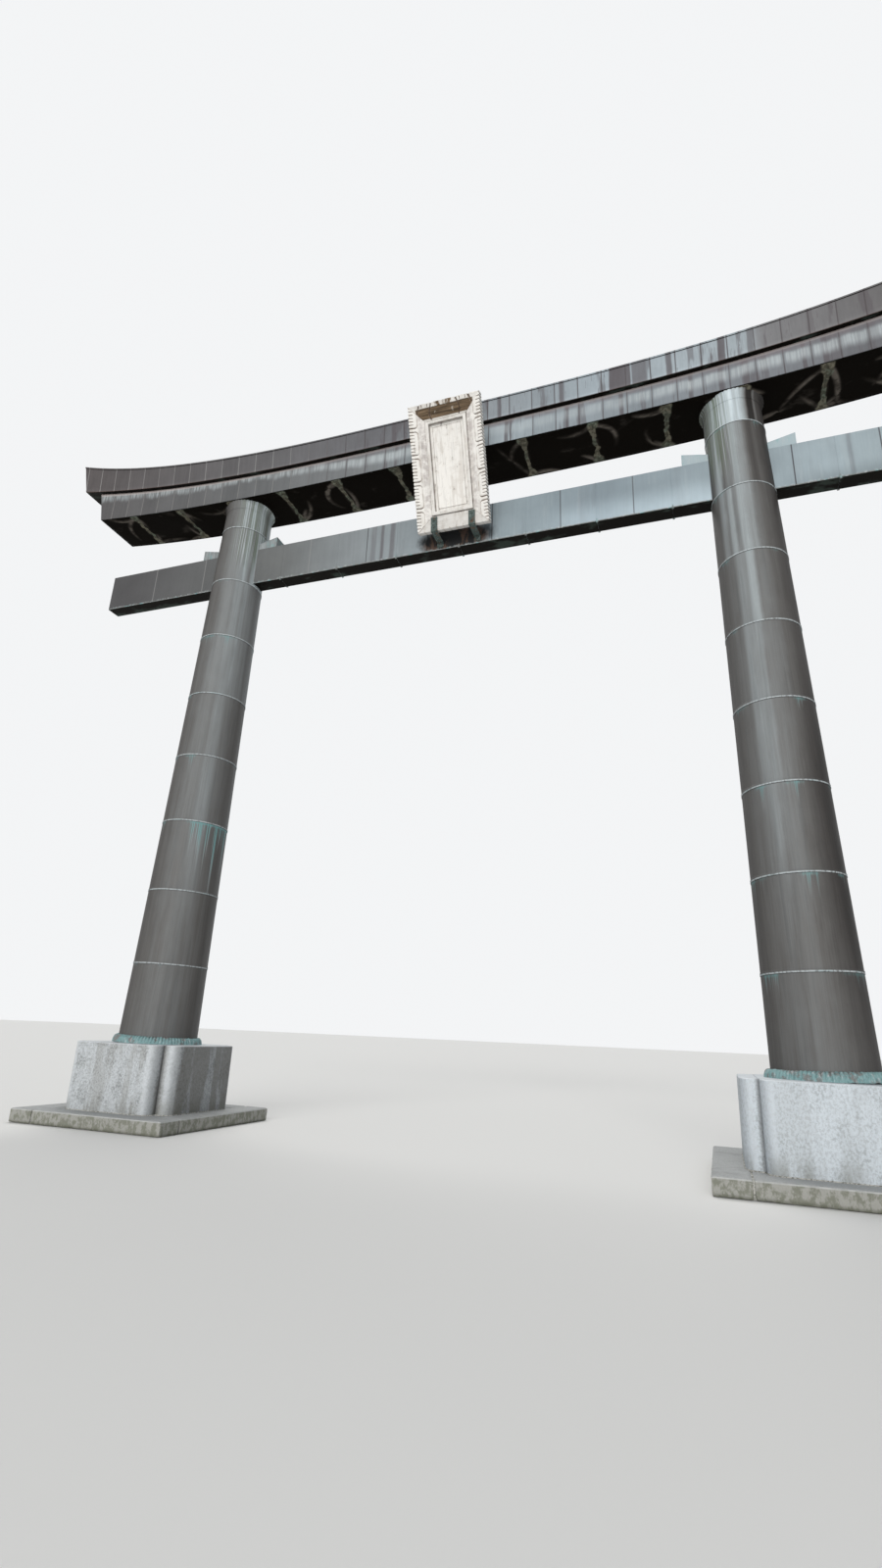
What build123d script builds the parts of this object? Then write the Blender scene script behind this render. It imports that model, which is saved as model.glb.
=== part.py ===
"""Copper-clad torii gate on two stone pedestals, with a carved name board over the passage.

Millimetres, +Z up. X runs along the beams, the approach side is -Y, and the origin lies
on the ground midway between the two columns.
"""

import os
from math import comb, cos, radians, sin, tan

from build123d import *

os.makedirs("parts", exist_ok=True)

# Plinths: low stone slabs on the ground
PLINTH_W = 2270
PLINTH_H = 167
KERB_W = 350
PLINTH_JOINT = 10
PLINTH_JOINT_DEPTH = 14
PLINTH_ARRIS = 12

# Pedestals: four granite slabs round a core
PEDESTAL_H = 803
CORE_W = 1312
SLAB_T = 172
SLAB_ROUND = 155
SLAB_JOINT = 6
SLAB_ARRIS = 8

# Columns: a straight taper on a leaning axis, clad in lapped courses
COLUMN_X = 4080
COLUMN_FOOT_R = 508
COLUMN_TAPER = 0.0160
BATTER = 1.63
COURSES = 9
FIRST_COURSE = 1013
COURSE = 1000
HEM_H = 26
HEM_STEP = 10
HEM_PROUD = 5
FOOT_SPARE = 60

# Flashing at the foot of each column and lip at its head
SKIRT_H = 100
SKIRT_OUT = 72
SKIRT_LIP = 10
SKIRT_FLATS = 4
COLLAR_H = 170
COLLAR_SIDE_OUT = 66
COLLAR_FRONT_OUT = 27
COLLAR_SHEET = 6
COLLAR_MID_OUT = 6

# Tie beam through both columns, with wedges driven in above it
TIE_Z = 8020
TIE_H = 643
TIE_T = 228
TIE_L = 12860
WEDGE_OUT = 322
WEDGE_END_H = 185
WEDGE_FACE_H = 112
WEDGE_SETBACK = 6
WEDGE_GAP = 10

# Centre strut behind the board
STRUT_W = 480
STRUT_T = 200

# Lintels: flat over the middle, rising to the ends by the cube of the distance; the top edge
# of the upper one turns up a little more at its tips
LOWER_Z = 9464
LOWER_H = 404
LOWER_T = 808
LOWER_L = 13468
LOWER_LEAN = 122
UPPER_H = 324
UPPER_T = 946
UPPER_FLARE = 31
UPPER_L = 14326
UPPER_LEAN = 108
RISE_SPAN = 6500
LOWER_RISE = 254
MIDDLE_RISE = 395
UPPER_RISE = 491
UPPER_TIP = 55
EDGE_DEGREE = 8
EAVE_H = 25
EAVE_OUT = 12
RIDGE_H = 90
BAYS = 16

# Board: hung on the lintel, leaning out over the passage
BOARD_W = 1080
BOARD_H = 1820
BOARD_LEAN = 21.5
BOARD_FOOT_Y = -400
BOARD_FOOT_Z = 8143
FRAME_W = 225
FRAME_SPLAY = 62
FRAME_T = 70
MOULDING_W = 62
MOULDING_PROUD = 22
MOULDING_ARRIS = 15
PANEL_DROP = 34

# Iron that carries the board
STRAP_X = 285
STRAP_W = 95
STRAP_T = 10
STRAP_UP = 205
STRAP_FLANGE = 90
STAY_X = 300
STAY_R = 14
STAY_DROP = 320
STAY_PLATE_W = 110
STAY_PLATE_T = 8

# Worked out from the sizes above
PEDESTAL_Z = PLINTH_H + PEDESTAL_H
TIE_TOP = TIE_Z + TIE_H
MIDDLE_Z = LOWER_Z + LOWER_H
EAVE_Z = MIDDLE_Z + UPPER_H
BOARD_BACK = FRAME_SPLAY + FRAME_T
PANEL_FRONT = FRAME_SPLAY + PANEL_DROP
TIP_SPAN = UPPER_L / 2 + UPPER_LEAN
LINTEL_SPARE = LOWER_H / 4
MORTISE_L = 4 * COLUMN_FOOT_R
SIDES = {"left": -1, "right": 1}


def save(piece, name):
    piece.part.label = name
    export_step(piece.part, f"parts/{name}.step")


def column_radius(along):
    return COLUMN_FOOT_R - COLUMN_TAPER * along


def column_centre_x(z):
    return COLUMN_X - tan(radians(BATTER)) * (z - PEDESTAL_Z)


def column_axis(side):
    lean = side * sin(radians(BATTER))
    return Axis((side * COLUMN_X, 0, PEDESTAL_Z), (-lean, 0, cos(radians(BATTER))))


def column_plane(side):
    """Local x is the radius and local y runs up the leaning axis."""
    lean = side * sin(radians(BATTER))
    return Plane(
        origin=(side * COLUMN_X, 0, PEDESTAL_Z),
        x_dir=(0, 1, 0),
        z_dir=(cos(radians(BATTER)), 0, lean),
    )


def rise(height, x, tip=0):
    """Height of an edge above its middle; the tip counts only near the ends."""
    return height * (abs(x) / RISE_SPAN) ** 3 + tip * (abs(x) / TIP_SPAN) ** EDGE_DEGREE


def rising_edge(z, height, half, tip=0):
    """An edge from end to end: one Bezier on each side, a cubic with its last point raised."""
    cube = rise(height, half)
    turned_up = rise(0, half, tip)
    heights = [cube * comb(step, 3) / comb(EDGE_DEGREE, 3) for step in range(EDGE_DEGREE + 1)]
    heights[-1] += turned_up
    for side in SIDES.values():
        Bezier(*[(side * half * step / EDGE_DEGREE, z + up) for step, up in enumerate(heights)])


def lintel_side(z_low, rise_low, z_high, rise_high, half, lean, tip_low=0, tip_high=0):
    """Front view of a lintel whose ends lean outwards."""
    with BuildSketch(Plane.XZ) as outline:
        with BuildLine():
            rising_edge(z_low, rise_low, half, tip_low)
            rising_edge(z_high, rise_high, half + lean, tip_high)
            for side in SIDES.values():
                low = (side * half, z_low + rise(rise_low, half, tip_low))
                high = (side * (half + lean), z_high + rise(rise_high, half + lean, tip_high))
                Line(low, high)
        make_face()
    return outline.sketch


def lower_lintel_side():
    return lintel_side(LOWER_Z, LOWER_RISE, MIDDLE_Z, MIDDLE_RISE, LOWER_L / 2, LOWER_LEAN)


def make_plinth(side):
    reach = PLINTH_W / 2
    inner = PLINTH_W - 2 * KERB_W
    cut = PLINTH_JOINT_DEPTH
    with BuildPart() as plinth:
        with BuildSketch(Plane.XY) as outline:
            with Locations((side * COLUMN_X, 0)):
                Rectangle(PLINTH_W, PLINTH_W)
        extrude(amount=PLINTH_H)
        chamfer(plinth.faces().sort_by(Axis.Z)[-1].edges(), length=PLINTH_ARRIS)
        with BuildSketch(Plane.XY.offset(PLINTH_H)) as bed_joint:
            with Locations((side * COLUMN_X, 0)):
                Rectangle(inner + PLINTH_JOINT, inner + PLINTH_JOINT)
                Rectangle(inner, inner, mode=Mode.SUBTRACT)
        extrude(amount=-cut, mode=Mode.SUBTRACT)
        with BuildSketch(Plane.XY.offset(PLINTH_H)) as kerb_joints:
            for turn in (-1, 1):
                with Locations((side * COLUMN_X + turn * inner / 2, turn * (reach - KERB_W / 2))):
                    Rectangle(PLINTH_JOINT, KERB_W + 1)
                with Locations((side * COLUMN_X - turn * (reach - KERB_W / 2), turn * inner / 2)):
                    Rectangle(KERB_W + 1, PLINTH_JOINT)
        extrude(amount=-cut, mode=Mode.SUBTRACT)
        with BuildSketch(Plane.XY) as kerb_ends:
            for turn in (-1, 1):
                with Locations((side * COLUMN_X + turn * inner / 2, turn * reach)):
                    Rectangle(PLINTH_JOINT, 2 * cut)
                with Locations((side * COLUMN_X - turn * reach, turn * inner / 2)):
                    Rectangle(2 * cut, PLINTH_JOINT)
        extrude(amount=PLINTH_H, mode=Mode.SUBTRACT)
    return plinth


def make_pedestal_core(side):
    with BuildPart() as core:
        with BuildSketch(Plane.XY.offset(PLINTH_H)) as outline:
            with Locations((side * COLUMN_X, 0)):
                Rectangle(CORE_W, CORE_W)
        extrude(amount=PEDESTAL_H)
    return core


def make_pedestal_slabs(side):
    """Four slabs round the core; each has its two outer corners rounded off."""
    centre = (side * COLUMN_X, 0)
    reach = (CORE_W + SLAB_T) / 2
    with BuildPart() as slabs:
        with BuildSketch(Plane.XY.offset(PLINTH_H)) as outline:
            with Locations(centre):
                with PolarLocations(reach, 4):
                    Rectangle(SLAB_T, CORE_W - SLAB_JOINT)
            outer_corners = outline.vertices().sort_by_distance(centre)[-8:]
            fillet(outer_corners, radius=SLAB_ROUND)
        extrude(amount=PEDESTAL_H)
        chamfer(slabs.faces().group_by(Axis.Z)[-1].edges(), length=SLAB_ARRIS)
    return slabs


def wedge_outline(side, outward):
    """A wedge seen from the front: thin inside the column, thick at its outer end."""
    centre = side * column_centre_x(TIE_TOP)
    face = column_radius((TIE_TOP - PEDESTAL_Z) / cos(radians(BATTER)))
    slope = (WEDGE_END_H - WEDGE_FACE_H) / WEDGE_OUT
    end = face + WEDGE_OUT
    start = WEDGE_GAP / 2
    start_h = WEDGE_END_H - slope * (end - start)
    with BuildSketch(Plane.XZ) as outline:
        with BuildLine():
            Polyline(
                (centre + outward * start, TIE_TOP),
                (centre + outward * end, TIE_TOP),
                (centre + outward * end, TIE_TOP + WEDGE_END_H),
                (centre + outward * start, TIE_TOP + start_h),
                close=True,
            )
        make_face()
    return outline.sketch


def tie_section(side):
    """The stretch of the tie beam that passes through a column, seen from the front."""
    with BuildSketch(Plane.XZ) as outline:
        with Locations((side * column_centre_x(TIE_TOP), TIE_Z + TIE_H / 2)):
            Rectangle(MORTISE_L, TIE_H)
    return outline.sketch


def make_course(side, number):
    """One drum of sheet: its hemmed lower edge laps over the course below."""
    plane = column_plane(side)
    low = 0 if number == 0 else FIRST_COURSE + COURSE * (number - 1)
    high = FIRST_COURSE + COURSE * number
    last = number == COURSES - 1
    start = low - FOOT_SPARE if number == 0 else low
    hem_top = low + HEM_H
    if last:
        high = (MIDDLE_Z - LINTEL_SPARE - PEDESTAL_Z) / cos(radians(BATTER))
    with BuildPart() as course:
        with BuildSketch(plane) as profile:
            with BuildLine():
                if number == 0:
                    Polyline((0, start), (column_radius(start), start), (column_radius(high), high))
                else:
                    Polyline(
                        (0, low),
                        (column_radius(low) + HEM_PROUD, low),
                        (column_radius(hem_top) + HEM_PROUD, hem_top),
                        (column_radius(hem_top + HEM_STEP), hem_top + HEM_STEP),
                        (column_radius(high), high),
                    )
                Polyline((column_radius(high), high), (0, high), (0, start))
            make_face()
        revolve(axis=column_axis(side))
        if number == 0:
            split(bisect_by=Plane.XY.offset(PEDESTAL_Z), keep=Keep.TOP)
        if last:
            extrude(lower_lintel_side(), amount=LOWER_T / 2, both=True, mode=Mode.SUBTRACT)
        bottom_z = PEDESTAL_Z + low * cos(radians(BATTER))
        top_z = PEDESTAL_Z + high * cos(radians(BATTER))
        if bottom_z < TIE_TOP + WEDGE_END_H and top_z > TIE_Z:
            extrude(tie_section(side), amount=TIE_T / 2, both=True, mode=Mode.SUBTRACT)
            for outward in (-1, 1):
                slot = wedge_outline(side, outward)
                extrude(slot, amount=TIE_T / 2 - WEDGE_SETBACK, both=True, mode=Mode.SUBTRACT)
    return course


def make_skirt(side):
    """Flashing domed in flats, that sheds water from the column on to the pedestal."""
    inner = column_radius(SKIRT_H)
    crest = inner + SKIRT_LIP
    foot = column_radius(0) + SKIRT_OUT
    start = -FOOT_SPARE
    turns = [radians(90 * step / SKIRT_FLATS) for step in range(SKIRT_FLATS + 1)]
    dome = [(crest + (foot - crest) * sin(turn), SKIRT_H * cos(turn)) for turn in turns]
    with BuildPart() as skirt:
        with BuildSketch(column_plane(side)) as profile:
            with BuildLine():
                Polyline((column_radius(start), start), (inner, SKIRT_H), *dome, (foot, start), close=True)
            make_face()
        revolve(axis=column_axis(side))
        split(bisect_by=Plane.XY.offset(PEDESTAL_Z), keep=Keep.TOP)
    return skirt


def make_collar(side):
    """Sheet that flares from the head of the column to the soffit, mostly to the sides."""
    head = (LOWER_Z - PEDESTAL_Z + rise(LOWER_RISE, COLUMN_X)) / cos(radians(BATTER))
    foot = head - COLLAR_H
    above = head + LINTEL_SPARE
    axis = column_axis(side)
    middle_out = COLLAR_SHEET + COLLAR_MID_OUT
    flare = [(0, COLLAR_SHEET, COLLAR_SHEET), (0.5, middle_out, middle_out)]
    flare += [(1, COLLAR_SIDE_OUT, COLLAR_FRONT_OUT)]
    rings = []
    for share, side_out, front_out in flare:
        along = foot + share * COLLAR_H
        centre = axis.position + axis.direction * along
        with BuildSketch(Plane(origin=centre, x_dir=(0, 1, 0), z_dir=axis.direction)) as ring:
            Ellipse(column_radius(along) + front_out, column_radius(along) + side_out)
        rings.append(ring.sketch)
    with BuildSketch(column_plane(side)) as shaft:
        with BuildLine():
            Polyline(
                (0, foot - COLLAR_H),
                (column_radius(foot - COLLAR_H), foot - COLLAR_H),
                (column_radius(above), above),
                (0, above),
                close=True,
            )
        make_face()
    with BuildPart() as collar:
        loft(rings, ruled=True)
        extrude(rings[-1], amount=LINTEL_SPARE)
        revolve(shaft.sketch, axis=axis, mode=Mode.SUBTRACT)
        extrude(lower_lintel_side(), amount=LOWER_T, both=True, mode=Mode.SUBTRACT)
    return collar


def make_wedge(side, outward):
    with BuildPart() as wedge:
        extrude(wedge_outline(side, outward), amount=TIE_T / 2 - WEDGE_SETBACK, both=True)
    return wedge


def make_tie_beam():
    with BuildPart() as beam:
        with BuildSketch(Plane.XZ) as outline:
            with Locations((0, TIE_Z + TIE_H / 2)):
                Rectangle(TIE_L, TIE_H)
        extrude(amount=TIE_T / 2, both=True)
    return beam


def make_strut():
    with BuildPart() as strut:
        with BuildSketch(Plane.XY.offset(TIE_TOP)) as outline:
            Rectangle(STRUT_W, STRUT_T)
        extrude(amount=LOWER_Z - TIE_TOP)
    return strut


def make_lower_lintel():
    with BuildPart() as lintel:
        extrude(lower_lintel_side(), amount=LOWER_T / 2, both=True)
    return lintel


def cross_section(x, points):
    """A face across the beams at the given x; points are pairs of y and z."""
    with BuildSketch(Plane(origin=(x, 0, 0), x_dir=(0, 1, 0), z_dir=(1, 0, 0))) as section:
        with BuildLine():
            Polyline(*points, close=True)
        make_face()
    return section.sketch


def stations(half):
    """Evenly spaced places from end to end."""
    return [half * (2 * step / BAYS - 1) for step in range(BAYS + 1)]


def upper_section(x):
    """Trapezoid with leaning sides, a little taller than the lintel both ways."""
    low = MIDDLE_Z + rise(MIDDLE_RISE, x)
    high = EAVE_Z + rise(UPPER_RISE, x, UPPER_TIP)
    slope = UPPER_FLARE / (high - low)
    foot = UPPER_T / 2 - slope * LINTEL_SPARE
    head = UPPER_T / 2 + UPPER_FLARE + slope * LINTEL_SPARE
    bottom, top = low - LINTEL_SPARE, high + LINTEL_SPARE
    points = [(-foot, bottom), (foot, bottom), (head, top), (-head, top)]
    return cross_section(x, points)


def roof_section(x):
    """Shallow gable with a square eave."""
    high = EAVE_Z + rise(UPPER_RISE, x, UPPER_TIP)
    eave = UPPER_T / 2 + UPPER_FLARE + EAVE_OUT
    points = [
        (-eave, high - EAVE_H),
        (eave, high - EAVE_H),
        (eave, high + EAVE_H),
        (0, high + EAVE_H + RIDGE_H),
        (-eave, high + EAVE_H),
    ]
    return cross_section(x, points)


def make_upper_lintel():
    half = UPPER_L / 2
    outline = lintel_side(
        MIDDLE_Z, MIDDLE_RISE, EAVE_Z, UPPER_RISE, half, UPPER_LEAN, tip_high=UPPER_TIP
    )
    with BuildPart() as lintel:
        loft([upper_section(x) for x in stations(half + 2 * UPPER_LEAN)])
        extrude(outline, amount=UPPER_T, both=True, mode=Mode.INTERSECT)
    return lintel


def make_roof():
    half = UPPER_L / 2 + UPPER_LEAN
    spare = UPPER_H
    lean = spare * UPPER_LEAN / UPPER_H
    outline = lintel_side(
        EAVE_Z, UPPER_RISE, EAVE_Z + spare, UPPER_RISE, half, lean, UPPER_TIP, UPPER_TIP
    )
    with BuildPart() as roof:
        loft([roof_section(x) for x in stations(half + 2 * UPPER_LEAN)])
        extrude(outline, amount=UPPER_T, both=True, mode=Mode.INTERSECT)
    return roof


def board_directions():
    """Across the board, up its face, and out of it towards someone below."""
    lean = radians(BOARD_LEAN)
    outward = Vector(0, -cos(lean), -sin(lean))
    across = Vector(1, 0, 0)
    return across, outward.cross(across), outward


def board_plane(depth=0):
    """A plane parallel to the board's face, the given depth behind its front edges."""
    across, up, outward = board_directions()
    foot = Vector(0, BOARD_FOOT_Y, BOARD_FOOT_Z)
    return Plane(origin=foot - outward * depth, x_dir=across, z_dir=outward)


def make_frame_side(turn):
    """One splayed board, mitred at both ends; turn counts quarters round from the foot."""
    across, up, outward = board_directions()
    length, other = (BOARD_H, BOARD_W) if turn % 2 else (BOARD_W, BOARD_H)
    run = [across, up, across * -1, up * -1][turn]
    inward = outward.cross(run)
    middle = Vector(0, BOARD_FOOT_Y, BOARD_FOOT_Z) + up * (BOARD_H / 2)
    start = middle - inward * (other / 2) - run * length
    with BuildPart() as side:
        with BuildSketch(Plane(origin=start, x_dir=inward, z_dir=run)) as section:
            with BuildLine():
                Polyline(
                    (0, 0),
                    (FRAME_W, -FRAME_SPLAY),
                    (FRAME_W, -BOARD_BACK),
                    (0, -BOARD_BACK),
                    close=True,
                )
            make_face()
        extrude(amount=2 * length)
        with BuildSketch(Plane(origin=middle, x_dir=run, z_dir=outward)) as mitre:
            with BuildLine():
                Polyline(
                    (-length / 2, -other / 2),
                    (length / 2, -other / 2),
                    (length / 2 - FRAME_W, -other / 2 + FRAME_W),
                    (-length / 2 + FRAME_W, -other / 2 + FRAME_W),
                    close=True,
                )
            make_face()
        extrude(amount=2 * BOARD_BACK, both=True, mode=Mode.INTERSECT)
    return side


def make_panel():
    """The flat field in the middle of the board."""
    with BuildPart() as panel:
        with BuildSketch(board_plane(PANEL_FRONT)) as outline:
            with Locations((0, BOARD_H / 2)):
                Rectangle(BOARD_W - 2 * FRAME_W, BOARD_H - 2 * FRAME_W)
        extrude(amount=PANEL_FRONT - BOARD_BACK)
    return panel


def make_moulding():
    """Raised roll that runs round the field, against the splayed frame."""
    width = BOARD_W - 2 * FRAME_W
    height = BOARD_H - 2 * FRAME_W
    outward = board_directions()[2]
    with BuildPart() as moulding:
        with BuildSketch(board_plane(PANEL_FRONT)) as outline:
            with Locations((0, BOARD_H / 2)):
                Rectangle(width, height)
                Rectangle(width - 2 * MOULDING_W, height - 2 * MOULDING_W, mode=Mode.SUBTRACT)
        extrude(amount=PANEL_DROP + MOULDING_PROUD)
        crest = moulding.faces().sort_by(Axis((0, 0, 0), outward))[-1]
        chamfer(crest.edges(), length=MOULDING_ARRIS)
    return moulding


def board_section(up, depth):
    """World y and z of a point on the board's middle section."""
    across, up_way, outward = board_directions()
    point = Vector(0, BOARD_FOOT_Y, BOARD_FOOT_Z) + up_way * up - outward * depth
    return Vector(point.Y, point.Z)


def make_brackets():
    """Two flat irons that cup the foot of the board and run back to the tie beam."""
    splay = FRAME_SPLAY / FRAME_W
    slant = Vector(STRAP_UP, splay * STRAP_UP).length
    out_up = STRAP_T * splay * STRAP_UP / slant
    out_depth = STRAP_T * STRAP_UP / slant
    tip = board_section(STRAP_UP, splay * STRAP_UP)
    tip_out = board_section(STRAP_UP + out_up, splay * STRAP_UP - out_depth)
    foot = board_section(0, 0)
    foot_out = board_section(out_up, -out_depth)
    below = foot.Y - STRAP_T
    along = (below - foot_out.Y) / (tip_out.Y - foot_out.Y)
    heel = foot_out.X + along * (tip_out.X - foot_out.X)
    face = -TIE_T / 2
    with BuildPart() as brackets:
        for side in SIDES.values():
            with BuildSketch(Plane.YZ.offset(side * STRAP_X)) as outline:
                with BuildLine():
                    Polyline(
                        (tip.X, tip.Y),
                        (foot.X, foot.Y),
                        (face, foot.Y),
                        (face, foot.Y - STRAP_FLANGE),
                        (face - STRAP_T, foot.Y - STRAP_FLANGE),
                        (face - STRAP_T, below),
                        (heel, below),
                        (tip_out.X, tip_out.Y),
                        close=True,
                    )
                make_face()
            extrude(amount=STRAP_W / 2, both=True)
    return brackets


def make_stays():
    """Two round bars that hold the head of the board off the lower lintel."""
    up = BOARD_H - STAY_DROP
    height = board_section(up, BOARD_BACK).Y
    with BuildPart() as stays:
        with BuildSketch(Plane.XZ.offset(LOWER_T / 2)) as bars:
            with Locations((-STAY_X, height), (STAY_X, height)):
                Circle(STAY_R)
        extrude(amount=BOARD_H)
        split(bisect_by=board_plane(BOARD_BACK), keep=Keep.BOTTOM)
        with BuildSketch(Plane.XZ.offset(LOWER_T / 2)) as lintel_plates:
            with Locations((-STAY_X, height), (STAY_X, height)):
                Rectangle(STAY_PLATE_W, STAY_PLATE_W)
        extrude(amount=STAY_PLATE_T)
        with BuildSketch(board_plane(BOARD_BACK)) as board_plates:
            with Locations((-STAY_X, up), (STAY_X, up)):
                Rectangle(STAY_PLATE_W, STAY_PLATE_W)
        extrude(amount=-STAY_PLATE_T)
    return stays


if __name__ == "__main__":
    for word, side in SIDES.items():
        save(make_plinth(side), f"{word}_plinth")
        save(make_pedestal_core(side), f"{word}_pedestal_core")
        save(make_pedestal_slabs(side), f"{word}_pedestal_slabs")
        for number in range(COURSES):
            save(make_course(side, number), f"{word}_column_course_{number + 1}")
        save(make_skirt(side), f"{word}_foot_flashing")
        save(make_collar(side), f"{word}_column_collar")
        save(make_wedge(side, side), f"{word}_outer_wedge")
        save(make_wedge(side, -side), f"{word}_inner_wedge")
    save(make_tie_beam(), "tie_beam")
    save(make_strut(), "centre_strut")
    save(make_lower_lintel(), "lower_lintel")
    save(make_upper_lintel(), "upper_lintel")
    save(make_roof(), "lintel_roof")
    for turn, word in enumerate(("bottom", "right", "top", "left")):
        save(make_frame_side(turn), f"board_frame_{word}")
    save(make_panel(), "board_panel")
    save(make_moulding(), "board_moulding")
    save(make_brackets(), "board_brackets")
    save(make_stays(), "board_stays")
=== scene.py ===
import random
from math import atan2, cos, degrees, floor, hypot, pi, radians, sin

import bpy
from bpy.props import FloatProperty, FloatVectorProperty, IntProperty, PointerProperty
from mathutils import Matrix, Vector, noise
from mathutils.bvhtree import BVHTree
from mathutils.kdtree import KDTree


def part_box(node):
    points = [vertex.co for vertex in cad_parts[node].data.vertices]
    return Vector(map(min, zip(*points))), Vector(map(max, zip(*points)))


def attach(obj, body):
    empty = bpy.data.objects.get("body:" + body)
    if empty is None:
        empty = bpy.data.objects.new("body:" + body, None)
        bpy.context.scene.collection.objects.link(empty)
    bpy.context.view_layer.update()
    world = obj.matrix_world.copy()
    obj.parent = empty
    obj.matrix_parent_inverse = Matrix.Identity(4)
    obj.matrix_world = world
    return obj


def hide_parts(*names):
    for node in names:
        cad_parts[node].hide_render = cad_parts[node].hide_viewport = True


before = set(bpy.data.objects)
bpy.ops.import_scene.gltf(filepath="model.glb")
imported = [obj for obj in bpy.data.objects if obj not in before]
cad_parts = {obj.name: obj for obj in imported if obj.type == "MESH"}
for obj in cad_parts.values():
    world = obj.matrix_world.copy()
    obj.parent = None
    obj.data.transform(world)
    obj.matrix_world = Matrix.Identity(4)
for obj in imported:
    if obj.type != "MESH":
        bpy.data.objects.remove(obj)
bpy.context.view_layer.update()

bl_info = {
    "name": "Copper-clad gate finish",
    "version": (1, 0, 0),
    "blender": (4, 5, 0),
    "location": "3D View > Sidebar > Gate",
    "description": "Dresses a copper-clad torii gate: sheets, folds, carving, stone and its stage",
    "category": "Object",
}

SIDES = {"left": -1, "right": 1}
FRONT_AND_BACK = (-1, 1)
COURSES = 9
FRAME_SIDES = ("bottom", "right", "top", "left")
BOXES = {name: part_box(name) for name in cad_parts}
PEDESTAL_TOP = BOXES["left_pedestal_core"][1].z


def surface(node):
    """A node's faces, kept so that lines can be cast at it even once it is hidden."""
    mesh = node.data
    points = [point.co for point in mesh.vertices]
    return BVHTree.FromPolygons(points, [face.vertices for face in mesh.polygons])


SURFACES = {name: surface(node) for name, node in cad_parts.items()}


# Measures taken from the frame


def size_of(node):
    low, high = BOXES[node]
    return high - low


def middle_of(node):
    low, high = BOXES[node]
    return (low + high) / 2


def hit(node, origin, direction):
    """Where a line first meets a node of the frame."""
    place = SURFACES[node].ray_cast(Vector(origin), Vector(direction))[0]
    if place is None:
        raise RuntimeError(f"nothing of {node} lies along {direction} from {origin}")
    return place


def top_of(node, x, y=0.0):
    return hit(node, (x, y, BOXES[node][1].z + 1), (0, 0, -1)).z


def underside_of(node, x, y=0.0):
    return hit(node, (x, y, BOXES[node][0].z - 1), (0, 0, 1)).z


def face_of(node, x, z, front):
    """The y of a face; front is -1 for the approach side and 1 for the back."""
    return hit(node, (x, front * 3, z), (0, -front, 0)).y


class Board:
    """The name board's measures, and its own axes from the middle of its face: across, up and out."""

    def __init__(self):
        lean = bpy.context.scene.gate_sizes.board_lean
        boxes = [BOXES[f"board_frame_{word}"] for word in FRAME_SIDES]
        low = Vector([min(box[0][axis] for box in boxes) for axis in range(3)])
        high = Vector([max(box[1][axis] for box in boxes) for axis in range(3)])
        size = high - low
        spread = cos(lean) ** 2 - sin(lean) ** 2
        self.width = size.x
        self.height = (size.z * cos(lean) - size.y * sin(lean)) / spread
        self.back = (size.y * cos(lean) - size.z * sin(lean)) / spread
        self.out = Vector((0, -cos(lean), -sin(lean)))
        across = Vector((1, 0, 0))
        turn = Matrix((across, self.out.cross(across), self.out)).transposed().to_4x4()
        self.matrix = Matrix.Translation((low + high) / 2 + self.out * self.back / 2) @ turn
        self.rim = (self.width - size_of("board_panel").x) / 2
        inner = self.width / 2 - self.rim
        self.splay = self.depth("board_frame_left", -inner - 0.001)
        self.field = self.depth("board_panel", 0)
        self.crest = self.depth("board_moulding", -inner + size_of("board_moulding").x * 0.05)

    def depth(self, node, across):
        """How far a node lies behind the board's front edges."""
        start = self.matrix @ Vector((across, 0, 1))
        return -(self.matrix.inverted() @ hit(node, start, -self.out)).z


# Properties


def amount(name, description, default):
    return FloatProperty(name=name, description=description, default=default)


def length(name, description, default):
    return FloatProperty(name=name, description=description, default=default, unit="LENGTH", min=0)


def angle(name, description, default):
    return FloatProperty(name=name, description=description, default=radians(default), subtype="ANGLE")


def count(name, description, default):
    return IntProperty(name=name, description=description, default=default)


def colour(name, description, default):
    return FloatVectorProperty(
        name=name, description=description, default=default, subtype="COLOR", size=3, min=0, max=1
    )


class GateSizes(bpy.types.PropertyGroup):
    """Sizes of the columns, sheets, folds, carving and stones."""

    batter: angle("Batter", "Lean of each column from plumb", 1.63)
    foot_x: length("Column spacing", "Half the distance between the column feet", 4.08)
    taper: amount("Taper", "Loss of radius per metre of column", 0.016)
    first_course: length("First course", "Height of the lowest sheet of a column", 1.013)
    course: length("Course", "Height of each sheet above it", 1.0)
    lintel_sheet: length("Lintel sheet", "Width of the sheets on the lintels", 1 / 3)
    beam_sheet: length("Beam sheet", "Width of the sheets on the tie beam and soffit", 1.0)
    fold_width: length("Fold width", "Width of a folded joint between two sheets", 0.010)
    fold_height: length("Fold height", "How far a folded joint stands out", 0.0035)
    crimps: count("Crimps", "Crimps round a foot flashing", 84)
    pleats: count("Pleats", "Pleats round a column collar", 46)
    board_lean: angle("Board lean", "Forward lean of the board", 21.5)
    groove: length("Groove", "Reach of the cuts in the board's frame to each side", 0.0085)
    carving_grain: length("Carving grain", "Spacing of the points on the carved boards", 0.0038)
    carving_period: length("Carving period", "Distance after which the carving repeats", 0.386)
    strap: length("Strap", "Width of the iron straps", 0.095)
    kerb: length("Kerb", "Width of the kerb stones", 0.35)
    stone_gap: length("Stone gap", "Joint between the plinth's stones", 0.009)
    ripple: length("Soffit ripple", "Depth of the soffit's crumpled sheets", 0.040)


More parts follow.
